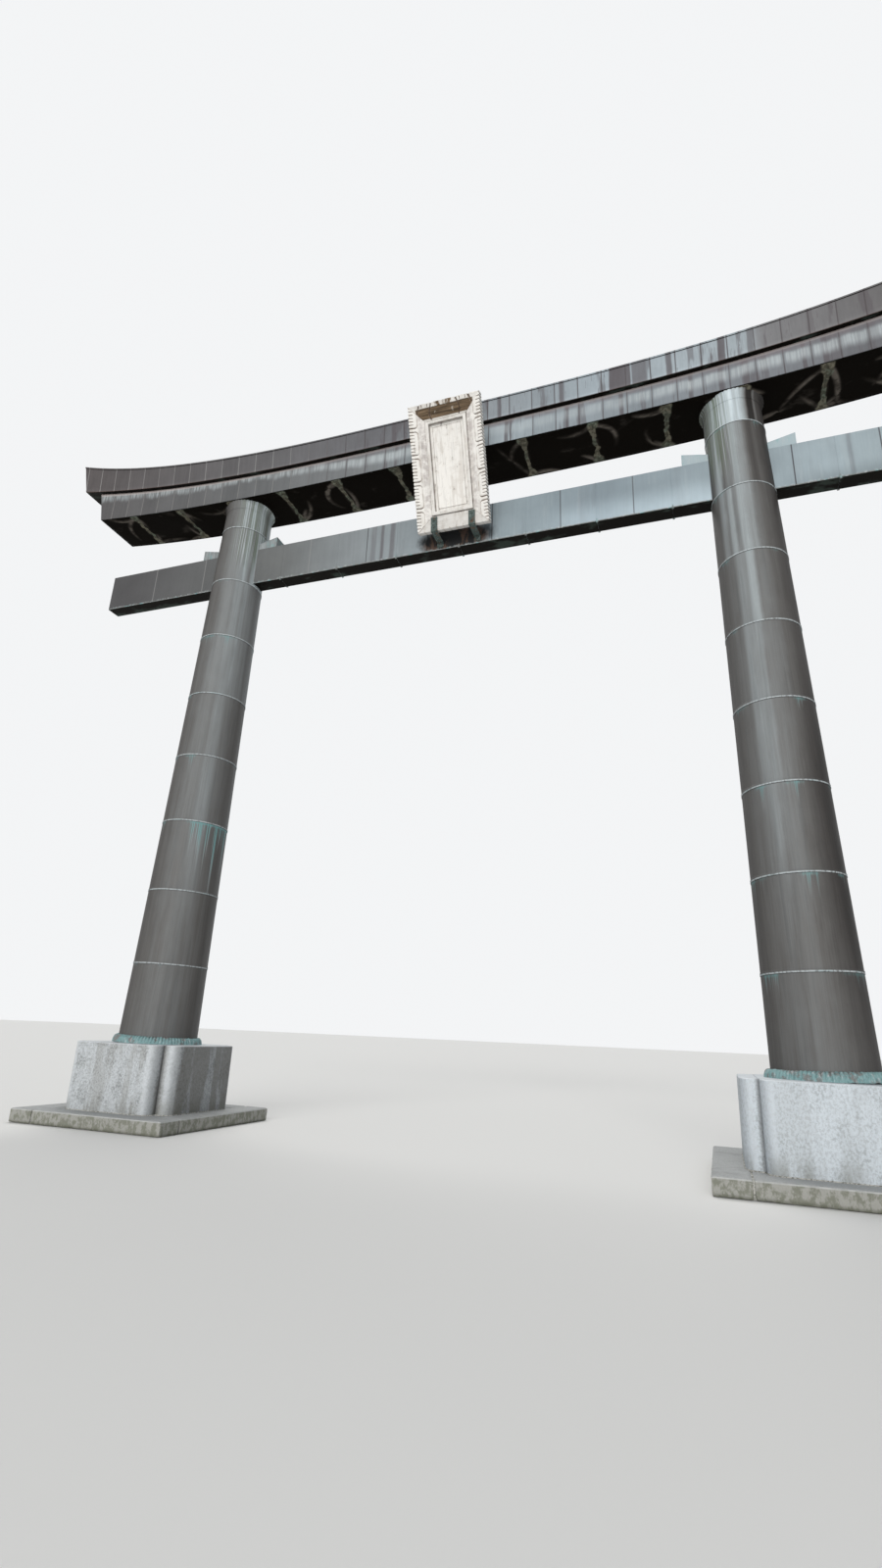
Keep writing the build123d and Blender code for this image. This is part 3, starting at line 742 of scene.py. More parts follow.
def granite_finish():
    """Honed speckled granite, pale in front and darker on its sides as painted shade, with damp stains,
    painted shade in the joints at the corners, painted highlights on the rounded corners and the top edge,
    and painted light on the right pedestal.
    """
    finish = Finish("granite_face", gloss=0.15)
    granite = finish.colours.granite
    lichen, damp, mud = (0.150, 0.155, 0.145), (0.240, 0.232, 0.210), (0.190, 0.188, 0.160)
    bleached, nook_shade = (0.640, 0.710, 0.770), (0.090, 0.092, 0.090)
    place = finish.vector(finish.x, finish.y, finish.z)
    cells = finish.node("ShaderNodeTexVoronoi", {}, {"Vector": place, "Scale": 95.0}, output=1)
    fine = finish.grain(140.0, 3.0, 0.7)
    mottle = finish.grain(46.0, 4.0, 0.66, (1, 1, 0.7))
    blotch = finish.grain(6.0, 4.0, 0.62, (1, 1, 0.6))
    stain = finish.grain(1.0, 5.0, 0.6, (5, 5, 0.7))
    low, high = BOXES["left_pedestal_slabs"]
    core = size_of("left_pedestal_core").x / 2
    foot_x = bpy.context.scene.gate_sizes.foot_x
    finish.ground = finish.blend(scaled(granite, 0.92), scaled(granite, 1.15), fine.ramp(0.44, 0.62))
    finish.coat(finish.colours.granite_dark, finish.axes(cells)[0].ramp(0.86, 0.96) * 0.45)
    finish.coat(scaled(granite, 0.62), mottle.ramp(0.49, 0.60) * 0.5)
    finish.coat(scaled(granite, 1.25), mottle.ramp(0.47, 0.38) * 0.4)
    finish.coat(scaled(granite, 0.70), blotch.ramp(0.49, 0.60) * 0.34)
    finish.coat(lichen, mottle.ramp(0.46, 0.56) * blotch.ramp(0.50, 0.60) * 0.42)
    side, front = [abs(value) for value in finish.facing()[:2]]
    shaded_flank = side.ramp(0.5, 0.9)
    corner = side.ramp(0.15, 0.45) * front.ramp(0.15, 0.45)
    wash = stain.ramp(0.54, 0.44) * (0.34 + shaded_flank * 0.26) * (1.0 - corner * 0.8)
    finish.coat(damp, wash)
    # painted highlight: the rounded corners, which face half front and half side, are lighter
    finish.coat(scaled(granite, 1.30), corner * 0.55)
    # painted shade: the faces towards the sides are darker, partly stain and partly shade
    finish.lighten(1.0 - shaded_flank * 0.36)
    # bleached: the right pedestal is painted paler and bluer, as cleaner stone and as painted light
    finish.coat(bleached, finish.x.ramp(0.0, 1.0) * (0.56 - mottle.ramp(0.46, 0.58) * 0.20))
    finish.coat(mud, finish.z.ramp(low.z + 0.24, low.z) * stain.ramp(0.62, 0.40) * 0.50)
    # painted highlight: a light line along the top edge
    finish.coat(scaled(granite, 1.35), finish.z.ramp(high.z - 0.014, high.z - 0.006) * 0.5)
    # painted shade: darker in the nooks where the slabs meet at the corners
    nook_x = abs(abs(abs(finish.x) - foot_x) - core).ramp(0.045, 0.008)
    nook_y = abs(abs(finish.y) - core).ramp(0.045, 0.008)
    finish.coat(nook_shade, nook_x * nook_y * 0.60)
    relief = fine * 0.25 + mottle * 0.4
    return finish.done(relief, distance=0.0015, strength=0.6, roughness=0.5 + wash * 0.2 + fine * 0.12)


def mortar_finish():
    """Rough lime mortar with soil in it."""
    finish = Finish("lime_mortar", gloss=0.2)
    grit = finish.grain(55.0, 4.0, 0.7)
    lime, soil = (0.50, 0.50, 0.47), (0.16, 0.16, 0.14)
    finish.ground = finish.blend(lime, soil, grit.ramp(0.46, 0.60))
    return finish.done(grit, distance=0.003, strength=0.7, roughness=0.86 + (grit - 0.5) * 0.1)


def kerb_finish():
    """Sawn stone: grey and smooth on top, finely mottled green-grey down its sides, with a painted highlight
    along its top edge.
    """
    finish = Finish("kerb_stone", gloss=0.1)
    kerb = finish.colours.kerb
    sawn, mossy = (0.345, 0.345, 0.320), (0.175, 0.182, 0.142)
    coarse = finish.grain(3.2, 5.0, 0.65)
    grit = finish.grain(70.0, 4.0, 0.7)
    growth = finish.grain(15.0, 5.0, 0.68, (1, 1, 0.7))
    wall = finish.facing()[2].ramp(0.8, 0.4)
    top = BOXES["left_plinth"][1].z
    finish.ground = finish.blend(scaled(kerb, 0.94), scaled(kerb, 1.12), grit.ramp(0.44, 0.60))
    finish.coat(scaled(kerb, 0.76), coarse.ramp(0.50, 0.62) * 0.6)
    face = finish.blend(sawn, mossy, growth.ramp(0.44, 0.58) * 0.75)
    finish.coat(finish.tint(face, 0.85 + grit * 0.3), wall)
    # painted highlight: a light band along the top edge of the walls
    finish.coat(scaled(kerb, 1.45), finish.z.ramp(top - 0.022, top - 0.012) * wall * 0.7)
    finish.coat(scaled(finish.colours.moss, 0.55), finish.z.ramp(0.045, 0.0) * 0.7)
    relief = coarse * 0.5 + grit * 0.35
    return finish.done(relief, distance=0.003, strength=0.7, roughness=0.82 + (grit - 0.5) * 0.2)


class TimberFinish(Finish):
    """White paint that is thin over the grain, and the wood under it; x is across, y up and z out."""

    def __init__(self, name, grain):
        super().__init__(name, gloss=0.15)
        lean = bpy.context.scene.gate_sizes.board_lean
        centre = middle_of("board_panel")
        back, rise = self.y - centre.y, self.z - centre.z
        self.y = rise * cos(lean) - back * sin(lean)
        self.z = back * -cos(lean) - rise * sin(lean)
        self.board = Board()
        self.fibres = self.grain(1.0, 4.0, 0.65, grain)
        self.flake = self.grain(11.0, 5.0, 0.65)
        dirt = self.grain(1.0, 4.0, 0.6, (9, 1.6, 9))
        timber, paint = self.colours.timber, self.colours.paint
        dusty, chalky = (0.52, 0.47, 0.42), (0.62, 0.58, 0.53)
        wood = self.blend(timber, scaled(timber, 0.45), self.fibres.ramp(0.47, 0.60))
        self.wood = self.blend(wood, scaled(timber, 1.8), self.fibres.ramp(0.44, 0.36) * 0.6)
        white = self.blend(paint, scaled(paint, 0.80), self.fibres.ramp(0.50, 0.62) * 0.6)
        white = self.blend(white, dusty, dirt.ramp(0.54, 0.66) * 0.40)
        self.white = self.blend(white, chalky, self.flake.ramp(0.50, 0.60) * 0.30)

    def wear(self, share):
        """Paint it white, with the wood bare in flakes, and give where it is bare."""
        bare = (self.flake * 0.6 + self.fibres * 0.4).ramp(0.590, 0.64)
        self.ground = self.blend(self.white, self.wood, bare * share)
        return bare

    def worn(self, bare):
        """Give the material of worn white paint."""
        relief = self.fibres * 0.6 - bare * 0.6
        roughness = 0.72 + (self.fibres - 0.5) * 0.2
        return self.done(relief, distance=0.0025, strength=0.6, roughness=roughness)

    def darken_grooves(self):
        """Brown dust beside the carved grooves, and dirt and painted shade in them."""
        dust, dirt = (0.36, 0.28, 0.22), (0.070, 0.048, 0.036)
        depth = self.attribute("carving")
        self.coat(dust, depth.ramp(0.02, 0.35) * self.flake.ramp(0.36, 0.60) * 0.6)
        # dirt and painted shade: dark in the carved grooves
        self.coat(dirt, (depth.ramp(0.30, 0.85) * (0.70 + self.flake * 0.4)).least(0.92))


UP_THE_GRAIN = (42, 2.2, 42)
ACROSS_THE_GRAIN = (2.2, 42, 42)


def side_timber():
    """The upright boards of the frame: worn white paint, with painted shade in the valleys, and dirt and
    painted shade in the grooves.
    """
    finish = TimberFinish("white_timber", UP_THE_GRAIN)
    bare = finish.wear(0.35)
    inward = finish.board.width / 2 - abs(finish.x)
    # painted shade: grey in the valleys beside the inner moulding
    grey = (0.40, 0.36, 0.35)
    finish.coat(grey, inward.ramp(0.10, 0.17) * finish.flake.ramp(0.36, 0.60) * 0.60)
    finish.darken_grooves()
    return finish.worn(bare)


def level_timber():
    """The bottom of the frame: worn white paint, darker as painted shade, with dirt and painted shade in the
    grooves.
    """
    finish = TimberFinish("level_timber", ACROSS_THE_GRAIN)
    bare = finish.wear(0.35)
    # painted shade: the bottom board faces down and is darkened
    finish.lighten(0.78)
    finish.darken_grooves()
    return finish.worn(bare)


def field_timber():
    """The board's field: worn white paint, with dark lines of dirt and painted shade beside the rolls of its
    moulding, and painted shade along its top.
    """
    finish = TimberFinish("field_timber", UP_THE_GRAIN)
    bare = finish.wear(0.45)
    board = finish.board
    reach_x, reach_y = board.width / 2 - board.rim, board.height / 2 - board.rim
    inside = (reach_x - abs(finish.x)).least(reach_y - abs(finish.y))
    soot, dust = (0.110, 0.080, 0.062), (0.15, 0.11, 0.085)
    # soot: dirt and painted shade in dark lines beside the moulding's rolls
    lines = ((0.004, 0.006, 0.9), (0.029, 0.003, 0.45), (0.059, 0.006, 0.75), (0.102, 0.005, 0.7))
    for distance, half, strength in lines:
        line = abs(inside - distance).ramp(half, half * 0.35)
        finish.coat(soot, line * (0.35 + finish.flake).least(1.0) * strength)
    # dust and painted shade: darker along the top, under the top board
    finish.coat(dust, finish.y.ramp(reach_y - 0.045, reach_y) * 0.45)
    return finish.worn(bare)


def bare_timber():
    """The top of the frame: bare wood, with paint left on the teeth along its upper edge."""
    finish = TimberFinish("bare_timber", ACROSS_THE_GRAIN)
    middle = abs(finish.x).ramp(0.20, 0.185)
    patches = finish.noise(finish.vector(finish.x * 9, finish.y * 4, 0.0), 1.0, 3.0, 0.6)
    kept = finish.y.ramp(0.845, 0.858) * (1.0 - middle * patches.ramp(0.56, 0.44))
    painted = kept.most(abs(finish.x).ramp(0.425, 0.440)).most(finish.y.ramp(0.705, 0.698))
    finish.ground = finish.blend(finish.wood, finish.white, painted * (0.80 + finish.flake * 0.3).least(1.0))
    old_paint = (0.66, 0.62, 0.56)
    finish.coat(old_paint, finish.flake.ramp(0.58, 0.66) * middle * 0.5)
    finish.darken_grooves()
    roughness = 0.8 + (finish.fibres - 0.5) * 0.2
    return finish.done(finish.fibres + kept * 0.5, distance=0.003, strength=0.7, roughness=roughness)


def iron_finish():
    """Dark paint, chipped and rusty."""
    finish = Finish("strap_iron", metallic=0.05, gloss=0.2)
    iron = finish.colours.iron
    coarse = finish.grain(14.0, 5.0, 0.65)
    grit = finish.grain(70.0, 4.0, 0.65)
    finish.ground = finish.blend(iron, scaled(iron, 1.8), grit.ramp(0.48, 0.60) * 0.7)
    finish.coat(finish.colours.rust, coarse.ramp(0.53, 0.63) * 0.8)
    chipped = (0.42, 0.44, 0.42)
    finish.coat(chipped, grit.ramp(0.56, 0.64) * coarse.ramp(0.50, 0.42) * 0.6)
    relief = coarse + grit * 0.4
    return finish.done(relief, distance=0.002, strength=0.6, roughness=0.62 + coarse * 0.25)


# Hand tools


def fresh(name, kind, **options):
    """Add a primitive with nothing else selected."""
    if bpy.context.object and bpy.context.object.mode != "OBJECT":
        bpy.ops.object.mode_set(mode="OBJECT")
    bpy.ops.object.select_all(action="DESELECT")
    getattr(bpy.ops.mesh, f"primitive_{kind}_add")(**options)
    piece = bpy.context.object
    piece.name = name
    return piece


def fresh_box(name, low, high):
    """Add a box between two corners."""
    low, high = Vector(low), Vector(high)
    piece = fresh(name, "cube", size=1, location=(low + high) / 2)
    piece.scale = high - low
    settle(piece)
    return piece


def hold(piece):
    """Make this the one selected object."""
    bpy.ops.object.select_all(action="DESELECT")
    piece.select_set(True)
    bpy.context.view_layer.objects.active = piece


def choose(piece, test, kind="faces"):
    """Go to edit mode with only the edges or faces selected whose middle passes the test."""
    bpy.ops.object.mode_set(mode="OBJECT")
    mesh = piece.data
    for group in (mesh.vertices, mesh.edges, mesh.polygons):
        group.foreach_set("select", [False] * len(group))
    if kind == "faces":
        mesh.polygons.foreach_set("select", [test(face.center) for face in mesh.polygons])
    else:
        ends = [[mesh.vertices[point].co for point in edge.vertices] for edge in mesh.edges]
        mesh.edges.foreach_set("select", [test((start + end) / 2) for start, end in ends])
    bpy.context.tool_settings.mesh_select_mode = (False, kind == "edges", kind == "faces")
    bpy.ops.object.mode_set(mode="EDIT")


def settle(piece):
    """Leave edit mode and put the piece's place into its mesh."""
    if bpy.context.object.mode != "OBJECT":
        bpy.ops.object.mode_set(mode="OBJECT")
    hold(piece)
    bpy.ops.object.transform_apply(location=True, rotation=True, scale=True)


def face_outwards(piece):
    """Turn every face of a closed piece outwards and settle it."""
    bpy.ops.object.mode_set(mode="EDIT")
    bpy.ops.mesh.select_all(action="SELECT")
    bpy.ops.mesh.normals_make_consistent(inside=False)
    settle(piece)


def close_sheet(piece, distance, flat=False):
    """Extrude a sheet's open edge along Z, to one level where flat, and close it with a face."""
    choose(piece, lambda middle: False, "edges")
    bpy.ops.mesh.select_non_manifold()
    bpy.ops.mesh.extrude_edges_move(TRANSFORM_OT_translate={"value": (0, 0, distance)})
    if flat:
        bpy.ops.transform.resize(value=(1, 1, 0), center_override=(0, 0, distance))
    bpy.ops.mesh.edge_face_add()
    face_outwards(piece)


def apply_modifier(piece, kind, **settings):
    """Give a piece one modifier and apply it."""
    hold(piece)
    modifier = piece.modifiers.new(kind.lower(), kind)
    for name, value in settings.items():
        setattr(modifier, name, value)
    bpy.ops.object.modifier_apply(modifier=modifier.name)


def ease_edges(piece, width):
    """Round a piece's sharp edges."""
    apply_modifier(piece, "BEVEL", width=width, segments=2, limit_method="ANGLE")


def join_all(pieces, name):
    """Make one piece of several."""
    hold(pieces[0])
    for piece in pieces:
        piece.select_set(True)
    bpy.ops.object.join()
    pieces[0].name = name
    pieces[0].data.name = name
    return pieces[0]


def dress(piece, material, replaced=(), smooth=35):
    """Finish a piece: its material, shading and body, and the nodes it stands for."""
    piece.data.materials.append(material)
    hold(piece)
    bpy.ops.object.shade_smooth_by_angle(angle=radians(smooth))
    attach(piece, "root")
    if replaced:
        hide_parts(*replaced)


def repeat(model, places, name, material):
    """Put a copy of the model at every place, and join and finish the copies as one piece."""
    copies = []
    for place in places:
        twin = model.copy()
        twin.data = model.data.copy()
        twin.data.transform(place)
        bpy.context.scene.collection.objects.link(twin)
        copies.append(twin)
    mesh = model.data
    bpy.data.objects.remove(model)
    bpy.data.meshes.remove(mesh)
    dress(join_all(copies, name), material)


def paint_node(node, material):
    """Give a solid of the frame its one material."""
    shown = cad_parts[node]
    shown.data.materials.clear()
    shown.data.materials.append(material)


# Operators


class PieceOperator(bpy.types.Operator):
    """A step of the gate that can be undone."""

    bl_options = {"REGISTER", "UNDO"}


class GATE_OT_clad_columns(PieceOperator):
    """Give the column sheets and the pedestal blocks their finishes"""
    bl_idname = "gate.clad_columns"
    bl_label = "Clad columns"

    def execute(self, context):
        stone = granite_finish()
        for word, side in SIDES.items():
            sheet = ShaftFinish(f"{word}_sheet", side).finished()
            for course in range(COURSES):
                paint_node(f"{word}_column_course_{course + 1}", sheet)
            for part in ("pedestal_core", "pedestal_slabs"):
                paint_node(f"{word}_{part}", stone)
        return {"FINISHED"}


class GATE_OT_clad_beams(PieceOperator):
    """Give the beams, strut, lintels, roof and irons their finishes"""
    bl_idname = "gate.clad_beams"
    bl_label = "Clad beams"

    def execute(self, context):
        sizes = context.scene.gate_sizes
        for finish, nodes in (
            (tie_beam_finish(sizes.beam_sheet), ("tie_beam", "centre_strut")),
            (lower_lintel_finish(sizes.lintel_sheet), ("lower_lintel",)),
            (upper_lintel_finish(sizes.lintel_sheet), ("upper_lintel", "lintel_roof")),
            (iron_finish(), ("board_brackets", "board_stays")),
        ):
            for node in nodes:
                paint_node(node, finish)
        return {"FINISHED"}


def upright_fold(width, height):
    """A folded joint one metre tall on the plane y = 0, standing out towards -Y."""
    fold = fresh_box("fold", (-width / 2, -height, 0), (width / 2, height, 1))
    ease_edges(fold, height * 0.45)
    return fold


def between(start, end, out=None):
    """The matrix that takes a metre along +Z at the origin to the line between two points.

    Its -Y side goes towards out where that is given.
    """
    run = Vector(end) - Vector(start)
    along = run.normalized()
    if out is None:
        turn = Vector((0, 0, 1)).rotation_difference(along).to_matrix()
    else:
        side = (Vector(out) - along * along.dot(Vector(out))).normalized()
        turn = Matrix(((-side).cross(along), -side, along)).transposed()
    return Matrix.Translation(Vector(start)) @ turn.to_4x4() @ Matrix.Diagonal((1, 1, run.length, 1))


def joints_along(node, sheet):
    """The places of the joints between a beam's sheets, with one sheet astride its middle."""
    low, high = BOXES[node]
    end = 0.03
    place = (floor(low.x / sheet - 0.5) + 1.5) * sheet
    places = []
    while place < high.x - end:
        if place > low.x + end:
            places.append(place)
        place += sheet
    return places


def face_line(node, x, front, inset):
    """The ends of an upright line on the front or back face of a beam."""
    low = underside_of(node, x) + inset
    high = top_of(node, x) - inset
    return (x, face_of(node, x, low, front), low), (x, face_of(node, x, high, front), high)


class GATE_OT_fold_lintels(PieceOperator):
    """Fold the joints between the sheets of both lintels and of the roof"""
    bl_idname = "gate.fold_lintels"
    bl_label = "Fold lintels"

    def execute(self, context):
        sizes = context.scene.gate_sizes
        for node in ("upper_lintel", "lower_lintel"):
            copper = bpy.data.materials[f"{node}_sheet"]
            joints = joints_along(node, sizes.lintel_sheet)
            folds = [between(*face_line(node, x, front, 0.003)) for x in joints for front in FRONT_AND_BACK]
            fold = upright_fold(sizes.fold_width, sizes.fold_height)
            repeat(fold, folds, f"{node}_folds", copper)
            hems = self.hems(node, joints)
            hem = upright_fold(width=0.016, height=0.0035)
            repeat(hem, hems, f"{node}_hems", copper)
        self.fold_roof(sizes)
        return {"FINISHED"}

    def hems(self, node, joints):
        """The folded lower edge of every sheet, front and back."""
        places = []
        rise, gap = 0.010, 0.002
        for start, end in zip(joints, joints[1:]):
            for front in FRONT_AND_BACK:
                foot = [face_line(node, x, front, rise)[0] for x in (start + gap, end - gap)]
                places.append(between(*foot))
        return places

    def fold_roof(self, sizes):
        """Fold the roof's joints and roll the cap along its ridge, one length to each sheet."""
        copper = bpy.data.materials["upper_lintel_sheet"]
        eave = size_of("lintel_roof").y / 2 - 0.004
        folds = []
        for x in joints_along("lintel_roof", sizes.lintel_sheet):
            for front in FRONT_AND_BACK:
                foot = (x, front * eave, top_of("lintel_roof", x, front * eave))
                folds.append(between(foot, (x, 0, top_of("lintel_roof", x))))
        fold = upright_fold(sizes.fold_width, sizes.fold_height * 1.6)
        repeat(fold, folds, "roof_folds", copper)
        gap = 0.003
        reach = BOXES["lintel_roof"][1].x - 0.10
        lengths = round(2 * reach / sizes.lintel_sheet)
        stops = [reach * (2 * step / lengths - 1) for step in range(lengths + 1)]
        rolls = []
        for start, end in zip(stops, stops[1:]):
            ridge = [(x, 0, top_of("lintel_roof", x)) for x in (start + gap, end - gap)]
            rolls.append(between(*ridge, out=(0, 0, 1)))
        roll = upright_fold(width=0.10, height=0.012)
        repeat(roll, rolls, "ridge_roll", copper)


class GATE_OT_fold_tie_beam(PieceOperator):
    """Fold the joints between the tie beam's sheets, and the hems along its lower edges"""
    bl_idname = "gate.fold_tie_beam"
    bl_label = "Fold tie beam"

    def execute(self, context):
        sizes = context.scene.gate_sizes
        low, high = BOXES["tie_beam"]
        tab_foot, tab_head, tab_lean = low.z - 0.012, low.z + 0.048, 0.004
        folds, tabs = [], []
        for step in (-3, -2, -1, 0, 1, 2, 3, 5):
            x = step * sizes.beam_sheet
            for y in (low.y, high.y):
                folds.append(between((x, y, low.z), (x, y, high.z)))
                tabs.append(between((x + tab_lean, y, tab_foot), (x, y, tab_head)))
            for z in (low.z, high.z):
                folds.append(between((x, low.y, z), (x, high.y, z)))
        fold = upright_fold(sizes.fold_width * 0.9, sizes.fold_height * 0.7)
        repeat(fold, folds, "tie_beam_folds", bpy.data.materials["tie_beam_sheet"])
        salts = verdigris_finish("tab_salts", 0.12)
        repeat(self.tab(), tabs, "tie_beam_tabs", salts)
        start, end, level = low.x + 0.002, high.x - 0.002, low.z + 0.007
        hems = [between((start, y, level), (end, y, level)) for y in (low.y, high.y)]
        salts = verdigris_finish("hem_salts", 0.06)
        hem = upright_fold(width=0.014, height=0.003)
        repeat(hem, hems, "tie_beam_hems", salts)
        return {"FINISHED"}

    def tab(self):
        """The crushed end of a joint, one metre tall and pinched at its upper end."""
        tab = fresh_box("tab", (-0.015, -0.010, 0), (0.015, 0.010, 1))
        choose(tab, lambda middle: middle.z > 0.999)
        bpy.ops.transform.resize(value=(0.35, 0.5, 1))
        settle(tab)
        ease_edges(tab, 0.004)
        return tab


class GATE_OT_hang_soffit(PieceOperator):
    """Hang the crumpled sheets under the lower lintel"""
    bl_idname = "gate.hang_soffit"
    bl_label = "Hang soffit"

    def execute(self, context):
        sizes = context.scene.gate_sizes
        end, margin = 6.70, 0.012
        half = size_of("lower_lintel").y / 2 - margin
        joints = [x * sizes.beam_sheet for x in range(-6, 7)]
        edges = [-end, *joints, end]
        creases = self.creases(joints, half)
        sheets = [self.sheet(*pair, half, sizes.ripple, creases) for pair in zip(edges, edges[1:])]
        finish = soffit_finish(sizes.beam_sheet)
        dress(join_all(sheets, "soffit_sheets"), finish, smooth=60)
        return {"FINISHED"}

    def creases(self, joints, half):
        """Points along the creases: each joint is pinched at its ends, and curved folds fan out there."""
        dice = random.Random(11)
        spots = []
        for x in joints:
            for end in FRONT_AND_BACK:
                for way in SIDES.values():
                    for fold in range(dice.choice((0, 1, 1, 2))):
                        heading = way * radians(dice.uniform(15, 82))
                        bend = dice.uniform(-3.2, 2.4) * way
                        reach = dice.uniform(0.25, 0.90)
                        height = dice.uniform(0.45, 1.0)
                        foot = (x + way * 0.03, end * half * 0.86)
                        spots += self.crease(*foot, end, heading, bend, reach, height)
            heading = dice.uniform(-0.05, 0.05)
            spots += self.crease(x, -half, -1, heading, bend=0.0, reach=2 * half, height=0.35)
        tree = KDTree(len(spots))
        for number, (x, y, height) in enumerate(spots):
            tree.insert((x, y, 0), number)
        tree.balance()
        return tree, [height for x, y, height in spots]

    def crease(self, x, y, end, heading, bend, reach, height):
        """One curved fold that starts at an edge and runs inwards until it dies away."""
        spots = []
        stride = 0.01
        steps = int(reach / stride)
        for step in range(steps):
            spots.append((x, y, height * min(1.0, 1.6 * (1 - step / steps)) ** 0.7))
            x += sin(heading) * stride
            y -= end * cos(heading) * stride
            heading += bend * stride
        return spots

    def sheet(self, start, end, half, ripple, creases):
        """One crumpled sheet: flat at its edges, and hanging lower along the creases near it."""
        tree, heights = creases
        spacing, crease_reach, gap_above = 0.0145, 0.060, 0.004
        steps = int((end - start) / spacing)
        sheet = fresh("sheet", "grid", x_subdivisions=steps, y_subdivisions=58, size=1)
        sheet.scale = (end - start, 2 * half, 1)
        sheet.location = ((start + end) / 2, 0, 0)
        settle(sheet)
        crease = sheet.data.attributes.new("crease", "FLOAT", "POINT")
        for number, point in enumerate(sheet.data.vertices):
            x, y = point.co.xy
            edge = max(0.0, min(1.0, min(x - start, end - x) / 0.03, (half - abs(y)) / 0.05))
            nearest, gap = tree.find((x, y, 0))[1:]
            rise = heights[nearest] * max(0.0, 1 - gap / crease_reach) ** 1.1
            sag = 0.5 + noise.noise(Vector((x * 1.9, y * 2.4, 3.1)))
            depth = rise * 0.62 + max(0.0, sag) * 0.38
            crease.data[number].value = rise
            point.co.z = underside_of("lower_lintel", x) - gap_above - ripple * depth * edge
        close_sheet(sheet, 0.003)
        return sheet


class Shaft:
    """The surface of a leaning column, and the sheets that are shaped round it."""

    def __init__(self, word):
        sizes = bpy.context.scene.gate_sizes
        self.side = SIDES[word]
        lean = sizes.batter
        self.foot = Vector((self.side * sizes.foot_x, 0, PEDESTAL_TOP))
        self.rise = Vector((-self.side * sin(lean), 0, cos(lean)))
        self.across = Vector((cos(lean), 0, self.side * sin(lean)))
        self.bottom = size_of(f"{word}_column_course_1").y / 2
        self.taper = sizes.taper

    def radius(self, along):
        """The column's radius this far along it."""
        return self.bottom - self.taper * along

    def place(self, turn, along, reach):
        """A place this far along the column and this far out from its axis."""
        out = self.across * cos(turn) + Vector((0, sin(turn), 0))
        return self.foot + self.rise * along + out * reach

    def sleeve(self, node, points, rings):
        """A tube of sheet, lowest ring first; a ring gives the distance along and the reach by turn."""
        sleeve = fresh(f"{node}_sheet", "circle", vertices=points, radius=1)
        bpy.ops.object.mode_set(mode="EDIT")
        bpy.ops.mesh.select_all(action="SELECT")
        for ring in rings[1:]:
            bpy.ops.mesh.extrude_edges_move(TRANSFORM_OT_translate={"value": (0, 0, 1)})
        bpy.ops.object.mode_set(mode="OBJECT")
        for point in sleeve.data.vertices:
            turn = atan2(point.co.y, point.co.x)
            point.co = self.place(turn, *rings[round(point.co.z)](turn))
        face_outwards(sleeve)
        apply_modifier(sleeve, "SOLIDIFY", thickness=0.002, offset=-1)
        return sleeve


RING_SHARES = [step / 8 for step in range(9)]


def crimp(turn, count, depth):
    """Depth of a crimped edge at this turn: sharp creases with rounded swells between."""
    return depth * (1 - abs(cos(turn * count / 2)) ** 0.6)


class GATE_OT_fit_flashings(PieceOperator):
    """Shape the crimped flashing round the foot of each column"""
    bl_idname = "gate.fit_flashings"
    bl_label = "Fit foot flashings"

    def execute(self, context):
        crimps = context.scene.gate_sizes.crimps
        finish = verdigris_finish("flashing_salts", 0.20)
        for word in SIDES:
            node = f"{word}_foot_flashing"
            shaft = Shaft(word)
            lip, margin = 0.018, 0.003
            height = size_of(node).z - lip
            reach = size_of(node).y / 2 - margin
            rings = [self.ring(shaft, share, height, reach, crimps) for share in RING_SHARES]
            rings.append(lambda turn: (height - crimp(turn, crimps, 0.010), shaft.radius(height) + margin))
            flashing = shaft.sleeve(node, crimps * 6, rings)
            dress(flashing, finish, replaced=(node,), smooth=80)
        return {"FINISHED"}

    def ring(self, shaft, share, height, reach, crimps):
        """One ring of the dome, from the pedestal at 0 to the column at 1."""
        turn_up = share * pi / 2
        lift, depth, uneven = 0.014, 0.013, 0.009
        edge = shaft.radius(height) + lift

        def at(turn):
            pinch = crimp(turn, crimps, depth) * sin(turn_up) ** 0.5
            level = height * sin(turn_up) - uneven * noise.noise(Vector((turn * 9, share, shaft.side)))
            lowest = -shaft.across.z * cos(turn) * reach / shaft.rise.z
            along = max(level - pinch * share, lowest + 0.001)
            return along, edge + (reach - edge) * cos(turn_up) - pinch

        return at


class GATE_OT_fit_collars(PieceOperator):
    """Pleat the sheet that flares from each column head to the soffit"""
    bl_idname = "gate.fit_collars"
    bl_label = "Fit column collars"

    def execute(self, context):
        pleats = context.scene.gate_sizes.pleats
        for word in SIDES:
            node = f"{word}_column_collar"
            shaft = Shaft(word)
            rings = [self.ring(shaft, share, node, pleats) for share in RING_SHARES]
            collar = shaft.sleeve(node, pleats * 6, rings)
            copper = bpy.data.materials[f"{word}_sheet"]
            dress(collar, copper, replaced=(node,), smooth=80)
        return {"FINISHED"}

    def ring(self, shaft, share, node, pleats):
        """One ring of the flare, from the shaft at 0 to the soffit at 1."""
        rise, short, side_margin, front_margin = 0.012, 0.03, 0.006, 0.003
        foot = (BOXES[node][0].z - shaft.foot.z) / shaft.rise.z + rise
        head = foot + size_of(node).z - short
        side_out = size_of(node).x / 2 - shaft.radius(head) - side_margin
        front_out = size_of(node).y / 2 - shaft.radius(head) - front_margin
        level = foot + (head - foot) * share
        flare = share ** 3

        def at(turn):
            out = hypot(side_out * cos(turn), front_out * sin(turn))
            reach = shaft.radius(level) + 0.002 + (out - crimp(turn, pleats, 0.010)) * flare
            along = level
            if share == 1:
                spot = shaft.place(turn, along, reach)
                along += (underside_of("lower_lintel", spot.x) - 0.003 - spot.z) / shaft.rise.z
            return along, reach

        return at


